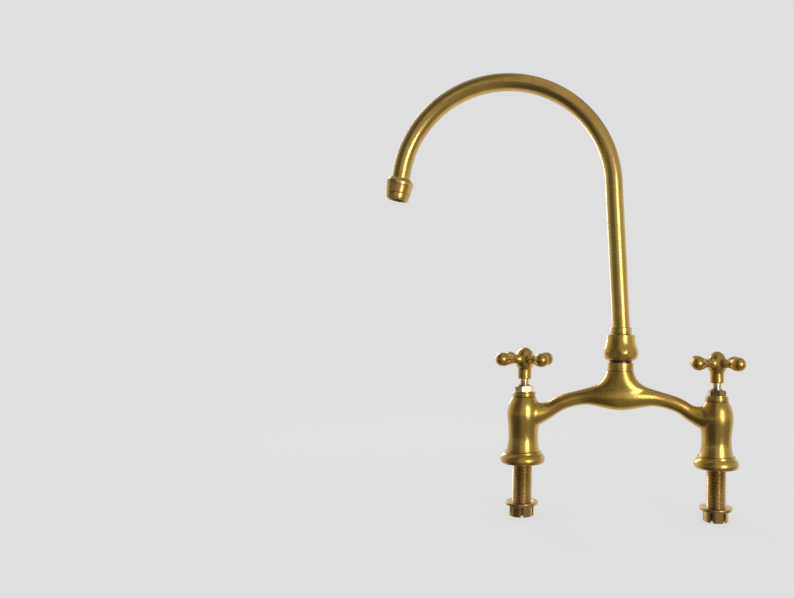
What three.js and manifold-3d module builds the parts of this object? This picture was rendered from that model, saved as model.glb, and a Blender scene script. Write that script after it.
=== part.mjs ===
// A two-handle bridge kitchen tap with a swivelling swan-neck spout, in aged brass.
// Millimetres. Z is up and z = 0 is the top face of the deck. X runs along the bridge, and -Y
// faces the user. At rest the spout points along -X.
import * as THREE from "three";
import { mergeVertices } from "three/addons/utils/BufferGeometryUtils.js";
import Module from "manifold-3d";

const wasm = await Module();
wasm.setup();

// ---- Clearances ----
const THREAD_GAP = 0.15; // radial, between a threaded piece and what it screws into
const TURN_GAP = 0.15; // radial, between a turning stem and its guide
const BRAZE_GAP = 0.25; // radial, between the tube and the rings fixed on it
const FACE_GAP = 0.3; // axial, between faces that pass or meet on a tilted axis
const SEAL_GAP = 0.2; // radial, between a seal ring and the bore that it runs in
const GROOVE_SIDE = 0.15; // axial, between a seal ring and each side of its groove
const GROOVE_FLOOR = 0.05; // radial, between a seal ring and the floor of its groove

// ---- Broken edges ----
const EASE = 0.4;
const CHAMFER = 0.6;

// ---- Bridge casting ----
const LEG_SPACING = 203.2; // between the axes of the two legs
const LEG_HEIGHT = 74; // deck to the rim that carries the valve
const FOOT_RADIUS = 23.5;
const FOOT_EDGE = 5; // height of the foot's upright edge
const FOOT_CHAMFER = 1.2;
const FOOT_RISE = 10.6; // top of the foot's rounded shoulder
const STEP_RADIUS = 19.5; // the narrow ring on top of the foot
const STEP_HEIGHT = 2;
const STEP_OVERHANG = 1.6; // radial, over the foot of the baluster
const WAIST_RADIUS = 15.6;
const SHOULDER_RADIUS = 17.5;
const RIM_RADIUS = 12.2; // the collar at the top of the leg
const RIM_HEIGHT = 4.5;
const ARM_RADIUS = 7.8;
const ARM_ROOT_RADIUS = 12.2; // where the arm runs into the leg
const ARM_ROOT_DROP = 25; // arm axis at the leg, below the rim
const ARM_RISE = 22.5; // from there up to the arm's crest
const BELLY_RADIUS = 13.3; // the swelling under the neck
const NECK_RADIUS = 13.9;
const NECK_STRAIGHT = 4.6;
const NECK_FLARE = 22; // radius of the fillet from the neck to the arms
const FLARE_SHARE = 0.95; // how much of the fillet's quarter turn is there
const FLARE_LIFT = 2.7; // its foot, above the arm's crest
const FLARE_SLIMMING = 1.2; // what the flare loses in depth towards its foot
const NECK_STUB_RADIUS = 12; // threaded top of the neck, inside the swivel nut
const NECK_STUB_HEIGHT = 10.5;
const NECK_BORE_RADIUS = 8.5;
const WATERWAY_RADIUS = 3.75; // passage through the arms
const LEG_WAY_RADIUS = 5.5; // passage from the tail up to the valve seat

// ---- Tails and backnuts ----
const TAIL_RADIUS = 10.45;
const TAIL_BORE_RADIUS = 7.5;
const TAIL_DROP = 53.6; // below the deck's top face
const TAIL_GRIP = 13; // screwed up into the foot
const TAIL_CHAMFER = 0.9;
const BACKNUT_FLANGE_RADIUS = 17.2;
const BACKNUT_FLANGE_HEIGHT = 3;
const BACKNUT_COLLAR_RADIUS = 13.2;
const BACKNUT_HEIGHT = 14.4;
const BACKNUT_OVERHANG = 0.8; // its castellated end, past the tail's end
const BACKNUT_SLOT_PAIRS = 3;
const BACKNUT_SLOT_WIDTH = 2.8;
const BACKNUT_SLOT_DEPTH = 10.4;
const LEFT_BACKNUT_TURN = 39; // degrees from +X to the first slot
const RIGHT_BACKNUT_TURN = 3;

// ---- Quarter-turn valve (heights are measured from the leg's rim) ----
const BONNET_FLANGE_RADIUS = 11.2;
const BONNET_FLANGE_HEIGHT = 1.3;
const HEX_ACROSS_FLATS = 17;
const HEX_HEIGHT = 5.7;
const HEX_CHAMFER = 1.1;
const BONNET_THREAD_RADIUS = 8.3;
const BONNET_THREAD_LENGTH = 12;
const CAGE_RADIUS = 7.6;
const CAGE_BORE_RADIUS = 6.6;
const CAGE_WINDOW_WIDTH = 7;
const CAGE_WINDOW_HEIGHT = 5.5;
const VALVE_DEPTH = 30; // rim to the end of the cage
const SEAL_STANDOUT = 0.6; // seat seal, past the end of the cage
const SEAL_HEIGHT = 2.6;
const SEAL_BORE_RADIUS = 4.2;
const DISC_RADIUS = 6.3;
const FIXED_DISC_HEIGHT = 2.8;
const MOVING_DISC_HEIGHT = 3;
const DISC_PORT_INNER = 1.6;
const DISC_PORT_OUTER = 4.9;
const DISC_PORT_ANGLE = 70; // degrees
const DRIVER_RADIUS = 6.2;
const DRIVER_HEIGHT = 3;
const LUG_WIDTH = 2.6;
const LUG_HEIGHT = 1.4;
const LUG_DEPTH = 1.5; // radial, measured in from the driver's rim
const LUG_INSET = 0.3; // the lug's outer face, in from the driver's rim
const SPINDLE_RADIUS = 4.45;
const BROACH_RADIUS = 4; // toothed top of the spindle, inside the handle
const BROACH_LENGTH = 15.5;
const SPINDLE_SHOULDER = 18; // rim to the foot of the toothed top
const SPINDLE_O_RING_SECTION = 1.05;
const SPINDLE_O_RING_DROP = 8; // below the rim
const BONNET_O_RING_SECTION = 1.3;
const CLIP_RADIUS = 6.3;
const CLIP_HEIGHT = 1;
const CLIP_LIFT = 0.15; // above the hexagon
const CLIP_GAP = 0.1; // between the clip and its groove, on every side
const CLIP_GROOVE_DEPTH = 0.6;
const CLIP_OPENING = 50; // degrees

// ---- Cross handle ----
const SKIRT_RADIUS = 7.15;
const SKIRT_START = 14.3; // rim to the skirt's lower edge
const SKIRT_LENGTH = 11.4;
const HUB_RADIUS = 10.7;
const HUB_LENGTH = 21.9; // skirt's end to the top of the dome
const SPOKE_HEIGHT = 20.7; // skirt's lower edge to the axis of the spokes
const SPOKE_NECK_RADIUS = 4;
const SPOKE_NECK_REACH = 15;
const SPOKE_ROOT_RADIUS = 5.2;
const SPOKE_BALL_RADIUS = 7.25;
const SPOKE_BALL_REACH = 29;
const SPOKE_COUNT = 4;
const LEFT_HANDLE_TURN = 42.5; // degrees from +X, as they stand at rest
const RIGHT_HANDLE_TURN = 39.5;
const SET_SCREW_RADIUS = 1.9;
const SET_SCREW_HEIGHT = 7.3; // above the skirt's lower edge
const SET_SCREW_KEY = 2; // across the flats of its socket
const SET_SCREW_SOCKET = 1.4; // depth of its socket
const SET_SCREW_INSET = 0.3; // its outer end, in from the skirt

// ---- Swivel ----
const SWIVEL_NUT_RADIUS = 18.9;
const SWIVEL_NUT_HEIGHT = 27.5;
const SWIVEL_NUT_FOOT_RADIUS = 13.9;
const SWIVEL_NUT_TOP_RADIUS = 14.7;
const SWIVEL_NUT_LIFT = 2; // shadow gap above the neck
const WRENCH_FLAT = 17.7; // axis to each of the six oval flats
const SLIP_RING_HEIGHT = 1.2;
const SPIGOT_FLANGE_RADIUS = 11.7;
const SPIGOT_FLANGE_HEIGHT = 3;
const SPIGOT_RADIUS = 8.25;
const SPIGOT_LENGTH = 20; // below the slip ring
const SPIGOT_BOSS_HEIGHT = 10; // inside the tube
const SPIGOT_BORE_RADIUS = 5.5;
const SPIGOT_O_RING_SECTION = 1.5;
const SPIGOT_O_RINGS = [0.28, 0.68]; // share of the spigot's length, from its end
const COLLAR_RADIUS = 11.3;
const COLLAR_HEIGHT = 7.7;
const COLLAR_CHAMFER = 1;

// ---- Spout ----
const TUBE_RADIUS = 9.5;
const TUBE_WALL = 1.2;
const TUBE_STRAIGHT = 153.6; // from the collar to the start of the arch
const TUBE_RAKE = 3.8; // degrees off the vertical, towards the outlet
const RAKE_BEND_RADIUS = 40;
const ARCH_RADIUS = 116;
const ARCH_SWEEP = 167.5; // degrees
const TUBE_END = 18; // straight, past the arch

// ---- Outlet (heights are measured up from the outlet face, along the spout's end) ----
const SHELL_FACE_RADIUS = 11.8;
const SHELL_RIM_RADIUS = 12.7;
const SHELL_RIM_HEIGHT = 6.9;
const SHELL_MOUTH_RADIUS = 11.1;
const SHELL_LIP_RADIUS = 10;
const SHELL_LIP_START = 1.2;
const SHELL_LIP_HEIGHT = 0.8;
const SHELL_BORE_RADIUS = 10.7;
const SHELL_THREAD_RADIUS = 11.8;
const SHELL_THREAD_LENGTH = 4.6;
const SOCKET_FOOT_RADIUS = 13;
const SOCKET_SHOULDER_RADIUS = 14.4;
const SOCKET_SHOULDER_START = 16.4;
const SOCKET_SHOULDER_HEIGHT = 3.6;
const SOCKET_LENGTH = 24;
const SOCKET_TOP_RADIUS = 10.9;
const SOCKET_STOP = 14; // underside of the ledge that the tube stands on
const SOCKET_LEDGE = 0.7;
const WASHER_HEIGHT = 1.6;
const WASHER_BORE_RADIUS = 7.6;
const INSERT_CELL = 3;
const INSERT_PITCH = 4;
const INSERT_RIM = 1.2;

// ---- Facets ----
const FINE = 20; // sides of the castings and the tube
const ROUND = 16; // sides of turned pieces and of the arms
const SMALL = 8; // sides of spokes, screws and waterways
const NECK_SIDES = 24;
const STEM_SIDES = 10;
const O_RING_SIDES = 5; // round an O-ring's section
const ARM_STEPS = 10;
const WATERWAY_STEPS = 6;
const ARCH_STEPS = 18;
const CLIP_STEPS = 10;
const PORT_STEPS = 4;
const PAST = 1; // how far a tool runs past the face that it opens

const radians = THREE.MathUtils.degToRad;

// ---- Heights that follow from the sizes above ----
const halfSpan = LEG_SPACING / 2;
const rimZ = LEG_HEIGHT;
const rootZ = rimZ - ARM_ROOT_DROP;
const crestZ = rootZ + ARM_RISE;
const flareFootZ = crestZ + ARM_RADIUS + FLARE_LIFT;
const flareTopZ = flareFootZ + NECK_FLARE * FLARE_SHARE;
const neckTopZ = flareTopZ + NECK_STRAIGHT;
const stubTopZ = neckTopZ + NECK_STUB_HEIGHT;
const pocketRadius = BONNET_THREAD_RADIUS + THREAD_GAP;
const seatZ = rimZ - VALVE_DEPTH - SEAL_STANDOUT;
const fixedDiscZ = seatZ + SEAL_HEIGHT;
const movingDiscZ = fixedDiscZ + FIXED_DISC_HEIGHT;
const driverZ = movingDiscZ + MOVING_DISC_HEIGHT;
const driverTopZ = driverZ + DRIVER_HEIGHT;
const hexTopZ = rimZ + BONNET_FLANGE_HEIGHT + HEX_HEIGHT;
const clipZ = hexTopZ + CLIP_LIFT;
const skirtZ = rimZ + SKIRT_START;
const shoulderZ = rimZ + SPINDLE_SHOULDER;
const spindleTopZ = shoulderZ + BROACH_LENGTH;
const spigotFlangeZ = stubTopZ + SLIP_RING_HEIGHT;
const tubeFootZ = spigotFlangeZ + SPIGOT_FLANGE_HEIGHT;
const nutFootZ = neckTopZ + SWIVEL_NUT_LIFT;
const nutTopZ = nutFootZ + SWIVEL_NUT_HEIGHT;
const nutLedgeZ = tubeFootZ + SLIP_RING_HEIGHT;
const collarZ = nutTopZ + FACE_GAP;
const bendZ = collarZ + COLLAR_HEIGHT;
const socketCollarZ = SHELL_RIM_HEIGHT + FACE_GAP;
const shellTop = SHELL_RIM_HEIGHT + SHELL_THREAD_LENGTH;

// ---- Solids ----

// A closed geometry as a solid whose faces point outwards.
function solidOf(geometry) {
  const bare = new THREE.BufferGeometry();
  bare.setAttribute("position", geometry.getAttribute("position"));
  bare.setIndex(geometry.index);
  const merged = mergeVertices(bare, 1e-4);
  const corners = merged.getAttribute("position");
  const found = merged.index.array;
  const kept = [];
  const a = new THREE.Vector3();
  const b = new THREE.Vector3();
  const c = new THREE.Vector3();
  let volume = 0;
  for (let i = 0; i < found.length; i += 3) {
    const [p, q, r] = found.slice(i, i + 3);
    if (p === q || q === r || r === p) continue;
    a.fromBufferAttribute(corners, p);
    b.fromBufferAttribute(corners, q);
    c.fromBufferAttribute(corners, r);
    volume += a.dot(b.cross(c));
    kept.push(p, q, r);
  }
  if (volume < 0) kept.reverse();
  const vertProperties = new Float32Array(corners.array);
  const triVerts = new Uint32Array(kept);
  return new wasm.Manifold(new wasm.Mesh({ numProp: 3, vertProperties, triVerts }));
}

// A solid as a flat-shaded geometry.
function geometryOf(solid) {
  const made = solid.getMesh();
  const position = new Float32Array(made.numVert * 3);
  for (let i = 0; i < made.numVert; i++) {
    const start = i * made.numProp;
    position.set(made.vertProperties.subarray(start, start + 3), i * 3);
  }
  const geometry = new THREE.BufferGeometry();
  geometry.setAttribute("position", new THREE.BufferAttribute(position, 3));
  geometry.setIndex(new THREE.BufferAttribute(made.triVerts, 1));
  const flat = geometry.toNonIndexed();
  flat.computeVertexNormals();
  return flat;
}

const joined = (...solids) => solids.reduce((whole, next) => whole.add(next));
const cut = (body, ...tools) => tools.reduce((rest, tool) => rest.subtract(tool), body);

// An outline of [radius, height] pairs turned round Z. It ends on the axis or closes on itself.
function turned(outline, sides = ROUND) {
  const points = outline.map(([radius, height]) => new THREE.Vector2(radius, height));
  return solidOf(new THREE.LatheGeometry(points, sides).rotateX(Math.PI / 2));
}

function rod(radius, low, high, sides = ROUND) {
  return turned([[0, low], [radius, low], [radius, high], [0, high]], sides);
}

function sleeve(inner, outer, low, high, sides = ROUND) {
  const outline = [[inner, low], [outer, low], [outer, high], [inner, high], [inner, low]];
  return turned(outline, sides);
}

function block(width, depth, height, centre, turn = 0) {
  const geometry = new THREE.BoxGeometry(width, depth, height);
  geometry.translate(...centre).rotateZ(turn);
  return solidOf(geometry);
}

// A torus of round section whose outside has the given radius.
function oRing(outerRadius, section, height) {
  const geometry = new THREE.TorusGeometry(outerRadius - section / 2, section / 2, O_RING_SIDES, ROUND);
  return solidOf(geometry.translate(0, 0, height));
}

function plate(shape, height, low, curveSegments) {
  const options = { depth: height, bevelEnabled: false, curveSegments };
  return solidOf(new THREE.ExtrudeGeometry(shape, options).translate(0, 0, low));
}

// A rounded section round a point: an ellipse, or with a lower power a pointed one.
function section(centre, across, along, acrossRadius, alongRadius, sides, power = 2) {
  const points = [];
  for (let i = 0; i < sides; i++) {
    const angle = (2 * Math.PI * i) / sides;
    const u = Math.cos(angle);
    const v = Math.sin(angle);
    const a = Math.sign(u) * Math.abs(u) ** (2 / power) * acrossRadius;
    const b = Math.sign(v) * Math.abs(v) ** (2 / power) * alongRadius;
    points.push(centre.clone().addScaledVector(across, a).addScaledVector(along, b));
  }
  return points;
}

// A skin over sections of equal count, with a fan over each end.
function loft(sections) {
  const sides = sections[0].length;
  const last = (sections.length - 1) * sides;
  const points = sections.flat();
  const middle = (ring) => ring.reduce((sum, p) => sum.add(p), new THREE.Vector3());
  points.push(middle(sections[0]).divideScalar(sides));
  points.push(middle(sections.at(-1)).divideScalar(sides));
  const triangles = [];
  for (let i = 0; i < sides; i++) {
    const next = (i + 1) % sides;
    for (let start = 0; start < last; start += sides) {
      const far = start + sides;
      triangles.push(start + i, start + next, far + next, start + i, far + next, far + i);
    }
    triangles.push(points.length - 2, next, i, points.length - 1, last + i, last + next);
  }
  const geometry = new THREE.BufferGeometry().setFromPoints(points);
  geometry.setIndex(triangles);
  return solidOf(geometry);
}

const xAxis = new THREE.Vector3(1, 0, 0);
const yAxis = new THREE.Vector3(0, 1, 0);
const zAxis = new THREE.Vector3(0, 0, 1);

// ---- Bridge casting ----

// The baluster outline of a leg, from the deck to the rim.
function legOutline() {
  const bodyZ = FOOT_RISE + STEP_HEIGHT;
  const collarFootZ = LEG_HEIGHT - RIM_HEIGHT;
  const at = (radius, share) => new THREE.Vector2(radius, bodyZ + share * (collarFootZ - bodyZ));
  const path = new THREE.Path();
  path.moveTo(0, 0);
  path.lineTo(FOOT_RADIUS - FOOT_CHAMFER, 0);
  path.lineTo(FOOT_RADIUS, FOOT_CHAMFER);
  path.lineTo(FOOT_RADIUS, FOOT_EDGE);
  path.lineTo(0.78 * FOOT_RADIUS + 0.22 * STEP_RADIUS, 0.5 * (FOOT_EDGE + FOOT_RISE));
  path.lineTo(STEP_RADIUS, FOOT_RISE);
  path.lineTo(STEP_RADIUS, bodyZ - EASE);
  path.lineTo(STEP_RADIUS - STEP_OVERHANG, bodyZ);
  path.splineThru([
    at(0.8 * WAIST_RADIUS + 0.2 * STEP_RADIUS, 0.11),
    at(WAIST_RADIUS, 0.27),
    at((WAIST_RADIUS + SHOULDER_RADIUS) / 2, 0.47),
    at(SHOULDER_RADIUS, 0.66),
    at(0.85 * SHOULDER_RADIUS + 0.15 * RIM_RADIUS, 0.8),
    at(0.55 * SHOULDER_RADIUS + 0.45 * RIM_RADIUS, 0.9),
    at(RIM_RADIUS - EASE / 2, 1),
  ]);
  path.lineTo(RIM_RADIUS, collarFootZ + EASE);
  path.lineTo(RIM_RADIUS, LEG_HEIGHT - CHAMFER);
  path.lineTo(RIM_RADIUS - CHAMFER, LEG_HEIGHT);
  path.lineTo(0, LEG_HEIGHT);
  return path.getPoints(1).map((p) => [p.x, p.y]);
}

// The arched axis of one arm, from the middle of the bridge to the leg.
function armAxis() {
  const at = (x, rise) => new THREE.Vector3(x, 0, rootZ + rise * ARM_RISE);
  return new THREE.CatmullRomCurve3([
    at(0, 0.96),
    at(0.2 * halfSpan, 1),
    at(0.345 * halfSpan, 0.98),
    at(0.53 * halfSpan, 0.79),
    at(0.63 * halfSpan, 0.61),
    at(0.75 * halfSpan, 0.29),
    at(0.9 * halfSpan, 0.07),
    at(0.98 * halfSpan, 0),
  ]);
}

// The arm swells to the belly under the neck, and again where it runs into the leg.
function armRadius(x) {
  const swell = (share) => 0.5 + 0.5 * Math.cos(Math.PI * THREE.MathUtils.clamp(share, 0, 1));
  const belly = swell(x / (0.48 * halfSpan)) * (BELLY_RADIUS - ARM_RADIUS);
  const root = swell((0.92 * halfSpan - x) / (0.25 * halfSpan)) * (ARM_ROOT_RADIUS - ARM_RADIUS);
  return ARM_RADIUS + belly + root;
}

// Both arms in one sweep. The radius is a function of the distance from the middle.
function armSweep(radiusAt, steps, sides, share) {
  const axis = armAxis();
  const half = [];
  for (let i = 0; i <= steps; i++) {
    const centre = axis.getPointAt((share * i) / steps);
    const along = i === 0 ? xAxis.clone() : axis.getTangentAt((share * i) / steps);
    half.push({ centre, along, radius: radiusAt(centre.x) });
  }
  const mirror = (v) => new THREE.Vector3(-v.x, v.y, v.z);
  const left = half.slice(1).reverse().map(({ centre, along, radius }) => {
    return { centre: mirror(centre), along: mirror(along).negate(), radius };
  });
  return loft([...left, ...half].map(({ centre, along, radius }) => {
    const up = new THREE.Vector3().crossVectors(along, yAxis);
    return section(centre, yAxis, up, radius, radius, sides);
  }));
}

// The neck flares into the two arms in the plane of the bridge.
function neckShape() {
  const flareAt = (share) => {
    const drop = share * NECK_FLARE;
    const spread = NECK_FLARE - Math.sqrt(NECK_FLARE ** 2 - drop ** 2);
    const depth = NECK_RADIUS - FLARE_SLIMMING * share ** 3;
    return { z: flareTopZ - drop, half: NECK_RADIUS + spread, depth };
  };
  const levels = [
    { z: crestZ, half: NECK_RADIUS, depth: 0.78 * NECK_RADIUS, power: 2 },
    { z: crestZ + 0.6 * ARM_RADIUS, half: 1.7 * NECK_RADIUS, depth: 0.84 * NECK_RADIUS, power: 1.8 },
    { ...flareAt(FLARE_SHARE), power: 1.6 },
    { ...flareAt(0.86), power: 1.7 },
    { ...flareAt(0.7), power: 1.85 },
    { ...flareAt(0.45), power: 1.95 },
    { ...flareAt(0), power: 2 },
    { z: neckTopZ, half: NECK_RADIUS, depth: NECK_RADIUS, power: 2 },
  ];
  return loft(levels.map(({ z, half, depth, power }) => {
    return section(new THREE.Vector3(0, 0, z), xAxis, yAxis, half, depth, NECK_SIDES, power);
  }));
}

// One hollow casting: two legs, the arched arms between them, and the threaded neck.
function bridgeBody() {
  const legs = [-halfSpan, halfSpan];
  const place = (solid, x) => solid.translate([x, 0, 0]);
  const leg = turned(legOutline(), FINE);
  const tailSocket = rod(TAIL_RADIUS + THREAD_GAP, -PAST, TAIL_GRIP);
  const legWay = rod(LEG_WAY_RADIUS, TAIL_GRIP - PAST, seatZ + PAST, SMALL);
  const valvePocket = rod(pocketRadius, seatZ, rimZ + PAST);
  const arms = armSweep(armRadius, ARM_STEPS, ROUND, 0.93);
  const neck = neckShape();
  const stub = rod(NECK_STUB_RADIUS, neckTopZ - PAST, stubTopZ);
  const outside = joined(arms, neck, stub, ...legs.map((x) => place(leg, x)));
  const inLeg = joined(tailSocket, legWay, valvePocket);
  const waterway = armSweep(() => WATERWAY_RADIUS, WATERWAY_STEPS, SMALL, 0.95);
  const neckBore = rod(NECK_BORE_RADIUS, crestZ - WATERWAY_RADIUS, stubTopZ + PAST);
  return cut(outside, waterway, neckBore, ...legs.map((x) => place(inLeg, x)));
}

// ---- Tails and backnuts ----

function tail() {
  const low = -TAIL_DROP;
  const outer = TAIL_RADIUS;
  return turned([
    [TAIL_BORE_RADIUS, low],
    [outer - TAIL_CHAMFER, low],
    [outer, low + TAIL_CHAMFER],
    [outer, TAIL_GRIP - TAIL_CHAMFER],
    [outer - TAIL_CHAMFER, TAIL_GRIP],
    [TAIL_BORE_RADIUS, TAIL_GRIP],
    [TAIL_BORE_RADIUS, low],
  ]);
}

// A flanged nut whose lower end is slotted for a tube spanner.
function backnut(firstSlot) {
  const low = -TAIL_DROP - BACKNUT_OVERHANG;
  const high = low + BACKNUT_HEIGHT;
  const bore = TAIL_RADIUS + THREAD_GAP;
  const flangeFoot = high - BACKNUT_FLANGE_HEIGHT;
  const blank = turned([
    [bore, low],
    [BACKNUT_COLLAR_RADIUS - EASE, low],
    [BACKNUT_COLLAR_RADIUS, low + EASE],
    [BACKNUT_COLLAR_RADIUS, flangeFoot],
    [BACKNUT_FLANGE_RADIUS - EASE, flangeFoot],
    [BACKNUT_FLANGE_RADIUS, flangeFoot + EASE],
    [BACKNUT_FLANGE_RADIUS, high - EASE],
    [BACKNUT_FLANGE_RADIUS - EASE, high],
    [bore, high],
    [bore, low],
  ], FINE);
  const slots = Array.from({ length: BACKNUT_SLOT_PAIRS }, (_, i) => {
    const height = BACKNUT_SLOT_DEPTH + PAST;
    const centre = [0, 0, low - PAST + height / 2];
    const length = 2 * (BACKNUT_COLLAR_RADIUS + PAST);
    const turn = radians(firstSlot + (180 * i) / BACKNUT_SLOT_PAIRS);
    return block(length, BACKNUT_SLOT_WIDTH, height, centre, turn);
  });
  return cut(blank, ...slots);
}

// ---- Quarter-turn valve ----

// The brass body that screws into the leg: hexagon, flange, thread and windowed cage.
function valveBody() {
  const hexRadius = HEX_ACROSS_FLATS / Math.sqrt(3);
  const flangeTopZ = rimZ + BONNET_FLANGE_HEIGHT;
  const hexagon = rod(hexRadius, rimZ, hexTopZ, 6);
  const corners = turned([
    [0, rimZ],
    [hexRadius + EASE, rimZ],
    [hexRadius + EASE, hexTopZ - HEX_CHAMFER],
    [HEX_ACROSS_FLATS / 2 - EASE, hexTopZ],
    [0, hexTopZ],
  ]);
  const threadFootZ = rimZ - BONNET_THREAD_LENGTH;
  const grooveRadius = pocketRadius - SEAL_GAP - BONNET_O_RING_SECTION - GROOVE_FLOOR;
  const grooveFootZ = rimZ - BONNET_O_RING_SECTION - 2 * GROOVE_SIDE;
  const stem = turned([
    [0, rimZ - VALVE_DEPTH],
    [CAGE_RADIUS, rimZ - VALVE_DEPTH],
    [CAGE_RADIUS, threadFootZ],
    [BONNET_THREAD_RADIUS, threadFootZ],
    [BONNET_THREAD_RADIUS, grooveFootZ],
    [grooveRadius, grooveFootZ],
    [grooveRadius, rimZ],
    [BONNET_FLANGE_RADIUS, rimZ],
    [BONNET_FLANGE_RADIUS, flangeTopZ],
    [0, flangeTopZ],
  ]);
  const discBore = rod(CAGE_BORE_RADIUS, rimZ - VALVE_DEPTH - PAST, driverTopZ + FACE_GAP);
  const guide = rod(SPINDLE_RADIUS + TURN_GAP, driverTopZ, hexTopZ + PAST);
  const windowCentre = [0, 0, movingDiscZ + CAGE_WINDOW_HEIGHT / 2];
  const windowLength = 2 * (CAGE_RADIUS + PAST);
  const windows = block(windowLength, CAGE_WINDOW_WIDTH, CAGE_WINDOW_HEIGHT, windowCentre);
  return cut(joined(hexagon.intersect(corners), stem), discBore, guide, windows);
}

function bonnetORing() {
  const height = rimZ - BONNET_O_RING_SECTION / 2 - GROOVE_SIDE;
  return oRing(pocketRadius - SEAL_GAP, BONNET_O_RING_SECTION, height);
}

// The rubber ring between the ceramic stack and the seat in the leg.
function seatSeal() {
  const outer = DISC_RADIUS;
  return turned([
    [SEAL_BORE_RADIUS, seatZ],
    [outer - CHAMFER, seatZ],
    [outer, seatZ + SEAL_STANDOUT],
    [outer, fixedDiscZ],
    [SEAL_BORE_RADIUS, fixedDiscZ],
    [SEAL_BORE_RADIUS, seatZ],
  ]);
}

// A ceramic disc with two opposite ports, centred on the given angle.
function portedDisc(height, low, portTurn) {
  const half = radians(DISC_PORT_ANGLE) / 2;
  const ports = [portTurn, portTurn + Math.PI].map((middle) => {
    const port = new THREE.Shape();
    port.absarc(0, 0, DISC_PORT_OUTER, middle - half, middle + half);
    port.absarc(0, 0, DISC_PORT_INNER, middle + half, middle - half, true);
    port.closePath();
    return plate(port, height + 2 * PAST, low - PAST, PORT_STEPS);
  });
  return cut(rod(DISC_RADIUS, low, low + height), ...ports);
}

const fixedDisc = () => portedDisc(FIXED_DISC_HEIGHT, fixedDiscZ, 0);

// Two notches in its rim take the spindle's lugs.
function movingDisc() {
  const near = DRIVER_RADIUS - LUG_DEPTH - TURN_GAP;
  const far = DISC_RADIUS + PAST;
  const height = LUG_HEIGHT + TURN_GAP + PAST;
  const notch = (side) => {
    const centre = [(side * (near + far)) / 2, 0, driverZ + PAST - height / 2];
    return block(far - near, LUG_WIDTH + 2 * TURN_GAP, height, centre);
  };
  return cut(portedDisc(MOVING_DISC_HEIGHT, movingDiscZ, Math.PI / 2), notch(-1), notch(1));
}

// Driver, stem with its ring groove and clip groove, and the toothed top for the handle.
function spindle() {
  const ringZ = rimZ - SPINDLE_O_RING_DROP;
  const ringHalf = SPINDLE_O_RING_SECTION / 2 + GROOVE_SIDE;
  const ringRadius = SPINDLE_RADIUS + TURN_GAP - SEAL_GAP;
  const ringFloor = ringRadius - SPINDLE_O_RING_SECTION - GROOVE_FLOOR;
  const clipFloor = SPINDLE_RADIUS - CLIP_GROOVE_DEPTH;
  const stem = turned([
    [0, driverZ],
    [DRIVER_RADIUS, driverZ],
    [DRIVER_RADIUS, driverTopZ],
    [SPINDLE_RADIUS, driverTopZ],
    [SPINDLE_RADIUS, ringZ - ringHalf],
    [ringFloor, ringZ - ringHalf],
    [ringFloor, ringZ + ringHalf],
    [SPINDLE_RADIUS, ringZ + ringHalf],
    [SPINDLE_RADIUS, clipZ - CLIP_GAP],
    [clipFloor, clipZ - CLIP_GAP],
    [clipFloor, clipZ + CLIP_HEIGHT + CLIP_GAP],
    [SPINDLE_RADIUS, clipZ + CLIP_HEIGHT + CLIP_GAP],
    [SPINDLE_RADIUS, shoulderZ],
    [BROACH_RADIUS, shoulderZ],
    [BROACH_RADIUS, spindleTopZ - CHAMFER],
    [BROACH_RADIUS - CHAMFER, spindleTopZ],
    [0, spindleTopZ],
  ], STEM_SIDES);
  const near = DRIVER_RADIUS - LUG_DEPTH;
  const far = DRIVER_RADIUS - LUG_INSET;
  const height = LUG_HEIGHT + PAST;
  const lug = (side) => {
    const centre = [(side * (near + far)) / 2, 0, driverZ + PAST - height / 2];
    return block(far - near, LUG_WIDTH, height, centre);
  };
  return joined(stem, lug(-1), lug(1));
}

function spindleORing() {
  const outer = SPINDLE_RADIUS + TURN_GAP - SEAL_GAP;
  return oRing(outer, SPINDLE_O_RING_SECTION, rimZ - SPINDLE_O_RING_DROP);
}

// The open ring that holds the spindle down on the hexagon.
function spindleClip() {
  const half = radians(CLIP_OPENING) / 2;
  const inner = SPINDLE_RADIUS - CLIP_GROOVE_DEPTH + CLIP_GAP;
  const shape = new THREE.Shape();
  shape.absarc(0, 0, CLIP_RADIUS, half, 2 * Math.PI - half);
  shape.absarc(0, 0, inner, 2 * Math.PI - half, half, true);
  shape.closePath();
  return plate(shape, CLIP_HEIGHT, clipZ, CLIP_STEPS);
}

// ---- Cross handle ----

function hubOutline() {
  const hubZ = skirtZ + SKIRT_LENGTH;
  const at = (radius, share) => new THREE.Vector2(radius, hubZ + share * HUB_LENGTH);
  const path = new THREE.Path();
  path.moveTo(0, skirtZ);
  path.lineTo(SKIRT_RADIUS - EASE, skirtZ);
  path.lineTo(SKIRT_RADIUS, skirtZ + EASE);
  path.lineTo(SKIRT_RADIUS, hubZ);
  path.splineThru([
    at(0.86 * HUB_RADIUS, 0.12),
    at(HUB_RADIUS, 0.38),
    at(0.97 * HUB_RADIUS, 0.62),
    at(0.74 * HUB_RADIUS, 0.85),
    at(0, 1),
  ]);
  return path.getPoints(2).map((p) => [p.x, p.y]);
}

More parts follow.
